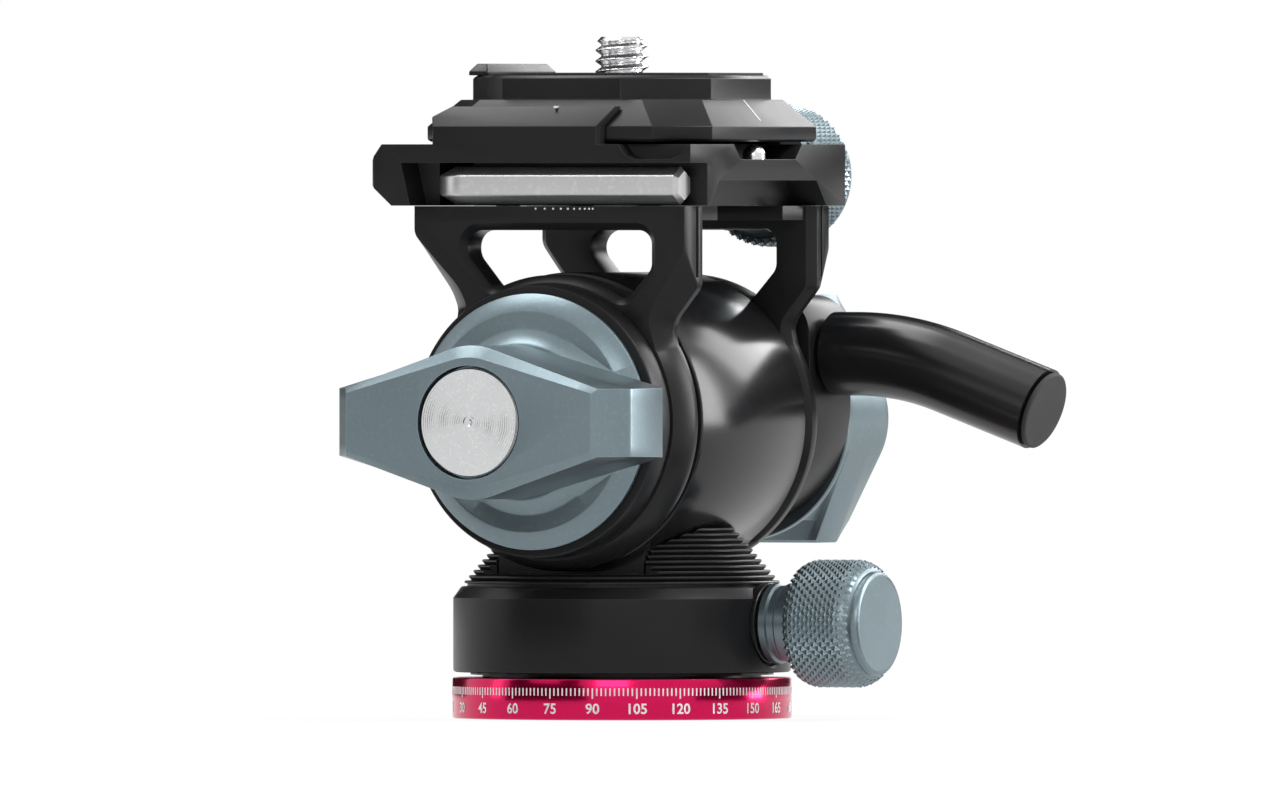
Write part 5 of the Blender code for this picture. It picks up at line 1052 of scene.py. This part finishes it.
def knurled(name, body, place, radius, length, columns, rows, height, drop):
    """The knurl on a knob's core."""
    made = grown(name, knurl_tree(), {
        "Radius": radius * MM, "Length": length * MM, "Columns": columns, "Rows": rows, "Height": height * MM,
        "End drop": drop * MM, "Material": finish("blasted")})
    made.data.transform(place)
    dress(made, "blasted", body)
    made.data.shade_flat()


class HEAD_OT_pan_lock(bpy.types.Operator):
    """Make the knurled pan lock knob with its neck and washer"""
    bl_idname = "head.pan_lock"
    bl_label = "Pan lock knob"

    def execute(self, context):
        low, high = (corner.x for corner in span("pan_knob"))
        height = sizes().knurl_height / MM
        root = 7.65 - height
        start, body_end, neck, bore = 24.7, 33.4, 4.8, 2.8
        profile = [
            (0, 29), (bore, 29), (bore, low), (neck - 0.15, low), (neck, low + 0.15), (neck, low + 0.9),
            (neck - 0.3, low + 1.1), (neck - 0.3, low + 1.9), (neck - 0.05, low + 2.2), (neck - 0.05, start - 0.9),
            (neck + 0.3, start - 0.4), (root - 1.3, start), (root - 0.5, start + 0.35), (root, start + 0.9),
            (root, body_end - 0.9), (root - 0.35, body_end - 0.3), (6.55, body_end), (6.2, body_end + 0.12),
            (6.2, high - 0.45), (6.05, high - 0.15), (5.75, high), (5.55, high), (0, high)]
        piece("pan_knob_core", turned("X", profile, PAN_KNOB_CENTRE, 128), "blasted", "pan_lock", "pan_knob")
        place = Matrix.Translation(((start + body_end) / 2 * MM, 0, PAN_KNOB_CENTRE[2] * MM))
        columns = 2 * sizes().knurl_columns + 1
        knurled("pan_knob_knurl", "pan_lock", place, root, body_end - start - 1.0, columns, 88, height, 0.45)
        low, high = (corner.x for corner in span("pan_knob_washer"))
        ring = [(bore, low), (neck, low), (neck, high - 0.1), (neck - 0.1, high), (bore, high)]
        piece("pan_lock_washer", turned("X", ring, PAN_KNOB_CENTRE, FINE), "black", "pan_lock", "pan_knob_washer")
        return {"FINISHED"}


# ---------------------------------------------------------------- camera clamp

JAW_LEFT, JAW_RIGHT, MOVING_RIGHT = -16.5, 8.6, 12.5
JAW_SEAT, JAW_ROOT, JAW_TOP = 66.3, 19.3, 72.8
JAW_HOOK = [(CLAMP_HALF, 70.4), (CLAMP_HALF - 2.4, JAW_TOP), (CLAMP_HALF - 3.3, JAW_TOP), (JAW_ROOT, 70.5)]


def jaw_end_cuts(side, left, right):
    """Slanted ends of a jaw, seen from above."""
    reach, inset = CLAMP_HALF + OVERRUN, 2.9
    cuts = []
    for end, sign in ((left, -1), (right, 1)):
        outline = [(end - sign * inset, reach), (end + sign * OVERRUN, reach)]
        outline += [(end + sign * OVERRUN, CLAMP_HALF - inset), (end, CLAMP_HALF - inset)]
        cuts.append(prism("Z", [(x, side * y) for x, y in outline], CLAMP_TOP, 74.8))
    return cuts


def clamp_cuts():
    """What is milled out of the clamp's body."""
    right, top, far = CLAMP_RIGHT, CLAMP_TOP, CLAMP_HALF
    over, under = top + OVERRUN, CLAMP_BOTTOM - OVERRUN
    left = CLAMP_LEFT - OVERRUN
    corner = [(left, far + OVERRUN), (CLAMP_LEFT + 2.2, far + OVERRUN), (left, far - 2.6)]
    cuts = [prism("Z", [(x, side * y) for x, y in corner], under, over) for side in (-1, 1)]
    slot_left, slot_top, slot_back = -19.1, 66.1, KEY_Y + 2.3
    slot = [(slot_left + 1.7, under), (right + OVERRUN, under), (right + OVERRUN, slot_top), (slot_left, slot_top)]
    cuts.append(prism("Y", slot, -far - OVERRUN, slot_back))
    cuts.append(box((-16.2, -11.6), (slot_back - OVERRUN, KEY_Y + 12.3), (under, slot_top)))
    upper = [(9, over), (9, top), (7.2, top - 1.8)]
    lower = [(15.4, under), (15.4, CLAMP_BOTTOM), (12.8, 64)]
    for half, deep in ((upper, 4.8), (lower, 4.2)):
        outline = [(-y, z) for y, z in half] + half[::-1]
        cuts.append(prism("X", outline, right - deep, right + OVERRUN))
    cuts.append(box((-16.8, 12.8), (far - 3.2, far + OVERRUN), (under, over)))
    left, deep = 9.8, 1.8
    scoop = [(left, over), (left, top), (left + deep * 0.6, top - deep * 0.75), (left + deep * 1.3, top - deep)]
    scoop += [(right - deep * 1.5, top - deep), (right - deep * 0.7, top - deep * 0.7), (right - GAP, top)]
    cuts.append(prism("Y", scoop + [(right - GAP, over)], -far - OVERRUN, -far + 2.5))
    for x, y in ((-9.4, -11.35), (-11.3, 11.35), (9.4, -11.35), (11.3, 11.35)):
        cuts.append(rod("Z", 3.0, 65.7, over, (x, y, 0)))
    cuts.append(rod("Y", 1.8, 8.2, far, CLAMP_KNOB_CENTRE))
    cuts.append(rod("Z", 1.6, 64.6, over, PIN_CENTRE))
    cuts.append(rod("Y", 1.7, slot_back - OVERRUN, slot_back + 2.3, MAGNET_CENTRE))
    return cuts


class HEAD_OT_camera_clamp(bpy.types.Operator):
    """Make the dovetail clamp, its sliding jaw, its knurled knob and the safety pin"""
    bl_idname = "head.camera_clamp"
    bl_label = "Camera clamp"

    def execute(self, context):
        edge_break = sizes().edge_break / MM
        section = [(-y, z) for y, z in [(CLAMP_HALF, JAW_SEAT)] + JAW_HOOK + [(JAW_ROOT, JAW_SEAT)]]
        shoulder = [(-17.6, 70.2), (-15.1, 71.8), (-13.3, 72.9), (-12.9, 74), (-17.6, 74)]
        chamfer = prism("Y", shoulder, -CLAMP_HALF - OVERRUN, JAW_LEFT)
        fixed = shaped("fixed_jaw", prism("X", section, JAW_LEFT, JAW_RIGHT),
                       cuts=jaw_end_cuts(-1, JAW_LEFT, JAW_RIGHT) + [chamfer])
        jaw = bmesh.new()
        jaw.from_mesh(fixed.data)
        discard(fixed)
        side_view = [(CLAMP_LEFT + 2.7, CLAMP_BOTTOM), (CLAMP_RIGHT, CLAMP_BOTTOM), (CLAMP_RIGHT, CLAMP_TOP)]
        side_view += [(CLAMP_LEFT + 1.4, CLAMP_TOP), (CLAMP_LEFT, 66.4), (CLAMP_LEFT, 63.4)]
        piece("clamp_plate", prism("Y", side_view, -CLAMP_HALF, CLAMP_HALF), "black", "tilt", "clamp_body",
              cuts=clamp_cuts(), joins=(jaw,), bevel=edge_break)
        inner = 17.5
        section = [(inner, CLAMP_BOTTOM), (CLAMP_HALF, CLAMP_BOTTOM)] + JAW_HOOK
        section += [(JAW_ROOT, CLAMP_TOP), (inner, CLAMP_TOP)]
        hole = rod("Y", 1.8, inner - OVERRUN, CLAMP_HALF + OVERRUN, CLAMP_KNOB_CENTRE)
        piece("sliding_jaw", prism("X", section, JAW_LEFT, MOVING_RIGHT), "black", "jaw", "clamp_jaw",
              cuts=[hole] + jaw_end_cuts(1, JAW_LEFT, MOVING_RIGHT), bevel=edge_break)
        piece("clamp_centre_mark", box((0.45, 0.75), (-18.75, -17.6), (72.6, 72.83)), "ink", "tilt")

        start, end = (corner.y for corner in span("clamp_knob"))
        height, bore = 0.5, 1.8
        root = 8.6 - height
        profile = [(0, start + 6), (bore, start + 6), (bore, start), (4.5, start), (4.5, start + 0.7),
                   (root - 1.2, start + 1.3), (root, start + 2.6), (root, end - 0.9), (root - 0.5, end - 0.3),
                   (root - 1.2, end - 0.2), (root - 1.4, end), (0, end)]
        core = turned("Y", profile, CLAMP_KNOB_CENTRE, 128)
        piece("clamp_knob_core", core, "blasted", "clamp_screw", "clamp_knob")
        length = end - start - 3.3
        x, _, z = CLAMP_KNOB_CENTRE
        centre = Vector((x, start + 2.2 + length / 2, z)) * MM
        place = Matrix.Translation(centre) @ Matrix.Rotation(math.pi / 2, 4, "Z")
        knurled("clamp_knob_knurl", "clamp_screw", place, root, length, 13, 92, height, 0.5)

        low, high = (corner.z for corner in span("safety_pin"))
        radius = 1.4
        dome = arc((0, high - radius), radius, 0, 90, 10)
        pin = turned("Z", [(0, low), (radius, low)] + dome[:-1] + [(0, high)], PIN_CENTRE, SMALL)
        piece("safety_pin_domed", pin, "plated", "pin", "safety_pin")
        return {"FINISHED"}


class HEAD_OT_hex_key(bpy.types.Operator):
    """Make the stowed hex key and the magnet that holds it"""
    bl_idname = "head.hex_key"
    bl_label = "Hex key"

    def execute(self, context):
        flats, left, right = 4, -13.9, 17.6
        bend = flats * 0.75
        x_way, y_way, up = Vector((1, 0, 0)), Vector((0, 1, 0)), Vector((0, 0, 1))
        corner = Vector((left + bend, KEY_Y + bend, KEY_Z))
        tip = Vector((right, KEY_Y, KEY_Z))
        stations = [(tip, y_way, up, 0.76), (tip - x_way * 0.5, y_way, up, 1)]
        for angle in (math.pi / 2 * i / 24 for i in range(25)):
            outward_way = Vector((-math.sin(angle), -math.cos(angle), 0))
            stations.append((corner + outward_way * bend, -outward_way, up, 1))
        end = Vector((left, KEY_Y + 12, KEY_Z))
        stations += [(end - y_way * 0.3, x_way, up, 1), (end, x_way, up, 0.86)]
        hexagon = circle(flats / math.sqrt(3), 6, 90)
        section = []
        for i in range(6):
            section += eased_corner(hexagon[i - 1], hexagon[i], hexagon[(i + 1) % 6], 0.25, 2.2, 3)
        piece("hex_key_bent", swept(stations, section), "key", "key", "hex_key")
        low, high = (corner.y for corner in span("key_magnet"))
        radius, edge = 1.5, 0.25
        profile = [(0, low), (radius - edge, low), (radius, low + edge), (radius, high), (0, high)]
        piece("key_magnet_disc", turned("Y", profile, MAGNET_CENTRE, SMALL), "plated", "tilt", "key_magnet")
        return {"FINISHED"}


# ---------------------------------------------------------------- camera plate

def cut_square(half, corner):
    near = half - corner
    quarter = [(half, -near), (half, near), (near, half)]
    return quarter + [(-near, half)] + [(-x, -y) for x, y in quarter] + [(near, -half)]


class HEAD_OT_camera_plate(bpy.types.Operator):
    """Make the quick-release plate, its pad, its lug and the threaded camera screw"""
    bl_idname = "head.camera_plate"
    bl_label = "Camera plate"

    def execute(self, context):
        bottom, flange_top, neck_top, head_top = 68.6, 70.4, 73.6, 76.5
        flange, corner, head_half, head_corner = 19, 5.3, 15.9, 8
        foot = layered("Z", [(z, cut_square(half, corner)) for z, half in (
            (bottom, flange - GAP), (bottom + GAP, flange), (flange_top, flange), (neck_top, 16.05))])
        head = layered("Z", [(z, cut_square(half, head_corner)) for z, half in (
            (neck_top - GAP, head_half), (head_top - 0.4, head_half), (head_top, 15.5))])
        well = rod("Z", 7.5, bottom - OVERRUN, 71.4, sides=FINE)
        hole = rod("Z", 3.475, bottom, head_top + OVERRUN, sides=FINE)
        piece("quick_release_plate", foot, "black", "plate", "quick_plate",
              cuts=(well, hole), joins=(head,), bevel=0.1)
        slope = Vector((-2.95, 0, 3.2)).normalized()
        normal = Vector((3.2, 0, 2.95)).normalized()
        start = Vector((18.35, 0.2, 71.1))
        stations = [(start + slope * along, Vector((0, 1, 0)), normal, 1) for along in (0, 3.3)]
        piece("plate_index_line", swept(stations, rectangle(-0.09, 0.09, -0.05, 0.03)), "ink", "plate")

        half, left = 15.2, -13.1
        near = half - head_corner
        edge = near + half + left
        outline = [(half, -near), (half, near), (near, half), (-near, half), (left, edge), (left, -edge)]
        outline += [(-near, -half), (near, -half)]
        hole = rod("Z", 4.2, head_top - OVERRUN, head_top + OVERRUN, sides=FINE)
        piece("rubber_pad", prism("Z", outline, head_top, head_top + GAP), "rubber", "plate", "plate_pad",
              cuts=(hole,), bevel=0.06)

        low, high = span("anti_twist_lug")
        foot_view = rectangle(low.x, high.x, low.y, high.y)
        top_view = rectangle(low.x + 0.55, high.x - 0.6, low.y + 1.1, high.y - 1.1)
        piece("lug", layered("Z", [(low.z, foot_view), (low.z + 0.47, foot_view), (high.z, top_view)]),
              "black", "plate", "anti_twist_lug", bevel=0.12, segments=3)

        low, high = span("camera_screw")
        radius, neck, edge, head_high = high.x, 2.6, 0.25, low.z + 2.2
        profile = [(0, low.z), (radius - edge, low.z), (radius, low.z + edge), (radius, head_high - edge),
                   (radius - edge, head_high), (neck, head_high), (neck, 76), (0, 76)]
        slot = box((-9, 9), (-0.75, 0.75), (low.z - OVERRUN, low.z + 1.2))
        screw_head = shaped("camera_screw_head", turned("Z", profile, sides=FINE), cuts=(slot,))
        thread = grown("camera_screw_thread", thread_tree(), {
            "Pitch": sizes().thread_pitch, "Bottom": 74 * MM, "Top": high.z * MM, "Material": finish("plated")})
        screw = bmesh.new()
        for part in (screw_head, thread):
            screw.from_mesh(part.data)
            discard(part)
        name = "camera_screw_threaded"
        dress(placed(name, mesh_from(name, screw)), "plated", "camera_bolt", "camera_screw")
        return {"FINISHED"}


# ---------------------------------------------------------------- stage, in metres

VIEW_ANGLE = math.radians(27)
RIGHT = Vector((math.cos(VIEW_ANGLE), math.sin(VIEW_ANGLE), 0))
TOWARDS = Vector((math.sin(VIEW_ANGLE), -math.cos(VIEW_ANGLE), 0))
UP = Vector((0, 0, 1))
AIM = RIGHT * 1.607 * MM + UP * 37.86 * MM
CAMERA_DISTANCE = 4.5
CAMERA_RISE = 27 * MM
LENS = 1070.6
FLOOR_HALF = 18

# How far a lamp or card stands right of, in front of and above the head, its width and height, a lamp's watts
LAMPS = {
    "key_lamp": (0.75, 0.25, 0.95, 0.35, 0.35, 10),
    "top_lamp": (-0.45, -0.25, 1.2, 1.1, 0.7, 14),
    "front_lamp": (-0.2, 1.7, 0.7, 0.7, 0.5, 5),
    "rim_lamp": (0.66, -0.96, 0.52, 0.95, 0.45, 7),
    "right_lamp": (1.26, -0.3, 0.2, 0.35, 1.0, 12),
    "left_lamp": (-1.2, -0.1, 0.2, 0.2, 0.9, 0.7),
}
CARDS = {
    "front_card": (-0.6, 0.8, 0.42, 0.26, 0.4),
    "left_card": (-1.06, 0.28, 0, 0.32, 1.2),
    "back_left_card": (-0.62, -1.15, 0.1, 0.9, 1.4),
    "back_card": (0.24, -1.35, 0.75, 2.4, 1.1),
    "back_right_card": (0.95, -1.0, 0.12, 1.4, 0.22),
    "low_right_card": (0.062, 0.03, -0.03, 0.05, 0.016),
    "low_left_card": (-0.047, 0.042, -0.028, 0.06, 0.02),
}


def aimed(name, data, right, towards, up):
    """An object placed as seen from the camera and turned to look at the head."""
    made = placed(name, data)
    made.location = AIM + RIGHT * right + TOWARDS * towards + UP * up
    made.rotation_euler = (AIM - made.location).to_track_quat("-Z", "Y").to_euler()
    return made


def sheet_mesh(name, half_width, half_height, up=0):
    """A flat rectangle about the Z axis, as a mesh."""
    data = bmesh.new()
    corners = rectangle(-half_width, half_width, -half_height, half_height)
    data.faces.new([data.verts.new((x, y, up)) for x, y in corners])
    return mesh_from(name, data)


def seen(w):
    """One where the camera sees a surface, directly, in gloss or through glass."""
    rays = w.node("ShaderNodeLightPath").outputs
    camera, glossy, through = (Value(w, rays[f"Is {kind} Ray"]) for kind in ("Camera", "Glossy", "Transmission"))
    return w.maths("MAXIMUM", w.maths("MAXIMUM", camera, glossy), through)


def pale_surface(name, glow):
    """A pale floor that reads as white and keeps a soft shadow."""
    made, w = material(name)
    w.tree.nodes.clear()
    place = w.out("ShaderNodeTexCoord", output="Object")
    distance = w.out("ShaderNodeVectorMath", {0: place}, "Value", operation="LENGTH")
    mix = w.out("ShaderNodeMixShader", {
        0: seen(w) * ranged(w, distance, glow, 1.0, 0.1, 0.6),
        1: w.out("ShaderNodeBsdfDiffuse", {"Color": (*colours().floor, 1)}),
        2: w.out("ShaderNodeEmission", {"Strength": 1.0})})
    w.node("ShaderNodeOutputMaterial", {"Surface": mix})
    return made


def black_card():
    made, w = material("Black card")
    shader = w.tree.nodes["Principled BSDF"].inputs
    shader["Base Color"].default_value = (0.01, 0.01, 0.01, 1)
    shader["Specular IOR Level"].default_value = 0
    return made


class HEAD_OT_stage(bpy.types.Operator):
    """Make the pale floor, the soft lamps, the cards, the world and the camera"""
    bl_idname = "head.stage"
    bl_label = "Stage"

    def execute(self, context):
        scene = context.scene
        scene.view_settings.view_transform = "Standard"
        mesh = sheet_mesh("pale_floor", FLOOR_HALF, FLOOR_HALF, -0.05 * MM)
        mesh.materials.append(pale_surface("Pale floor", 0.9))
        placed("pale_floor", mesh)

        for name, (*place, width, height, watts) in LAMPS.items():
            light = bpy.data.lights.new(name, "AREA")
            light.shape = "RECTANGLE"
            light.size = width
            light.size_y = height
            light.energy = watts
            aimed(name, light, *place)
        # Black cards give polished edges something dark to reflect. The camera doesn't see them.
        for name, (*place, width, height) in CARDS.items():
            card = aimed(name, sheet_mesh(name, width / 2, height / 2), *place)
            card.data.materials.append(once("card", black_card))
            card.visible_camera = card.visible_diffuse = card.visible_shadow = False

        scene.world = bpy.data.worlds.new("Plain studio")
        scene.world.use_nodes = True
        w = Wires(scene.world.node_tree)
        background = w.tree.nodes["Background"].inputs
        background["Color"].default_value = (1, 1, 1, 1)
        w.feed(background["Strength"], seen(w) * 0.75 + 0.25)

        camera = bpy.data.cameras.new("photo_camera")
        camera.lens = LENS
        camera.sensor_width = 36
        camera.clip_start = 0.1
        camera.clip_end = 40
        scene.camera = aimed("photo_camera", camera, 0, CAMERA_DISTANCE, CAMERA_RISE)
        return {"FINISHED"}


class HEAD_PT_panel(bpy.types.Panel):
    """Buttons and sizes for the fluid head"""
    bl_idname = "HEAD_PT_panel"
    bl_label = "Fluid head"
    bl_space_type = "VIEW_3D"
    bl_region_type = "UI"
    bl_category = "Fluid head"

    def draw(self, context):
        for group in (context.scene.head_sizes, context.scene.head_colours):
            rows = self.layout.box()
            for label in group.__annotations__:
                rows.prop(group, label)
        for operator in OPERATORS:
            self.layout.operator(operator.bl_idname)


OPERATORS = (
    HEAD_OT_frame_finishes, HEAD_OT_scale_ring, HEAD_OT_base_underside, HEAD_OT_pan_housing, HEAD_OT_tilt_drum,
    HEAD_OT_yoke, HEAD_OT_wing_knobs, HEAD_OT_handle, HEAD_OT_pan_lock, HEAD_OT_camera_clamp, HEAD_OT_hex_key,
    HEAD_OT_camera_plate, HEAD_OT_stage,
)
CLASSES = (HeadSizes, HeadColours) + OPERATORS + (HEAD_PT_panel,)


def register():
    for item in CLASSES:
        bpy.utils.register_class(item)
    bpy.types.Scene.head_sizes = bpy.props.PointerProperty(type=HeadSizes)
    bpy.types.Scene.head_colours = bpy.props.PointerProperty(type=HeadColours)


def unregister():
    del bpy.types.Scene.head_colours
    del bpy.types.Scene.head_sizes
    for item in reversed(CLASSES):
        bpy.utils.unregister_class(item)


def main():
    register()
    for operator in OPERATORS:
        group, action = operator.bl_idname.split(".")
        getattr(getattr(bpy.ops, group), action)()


if __name__ == "__main__":
    main()
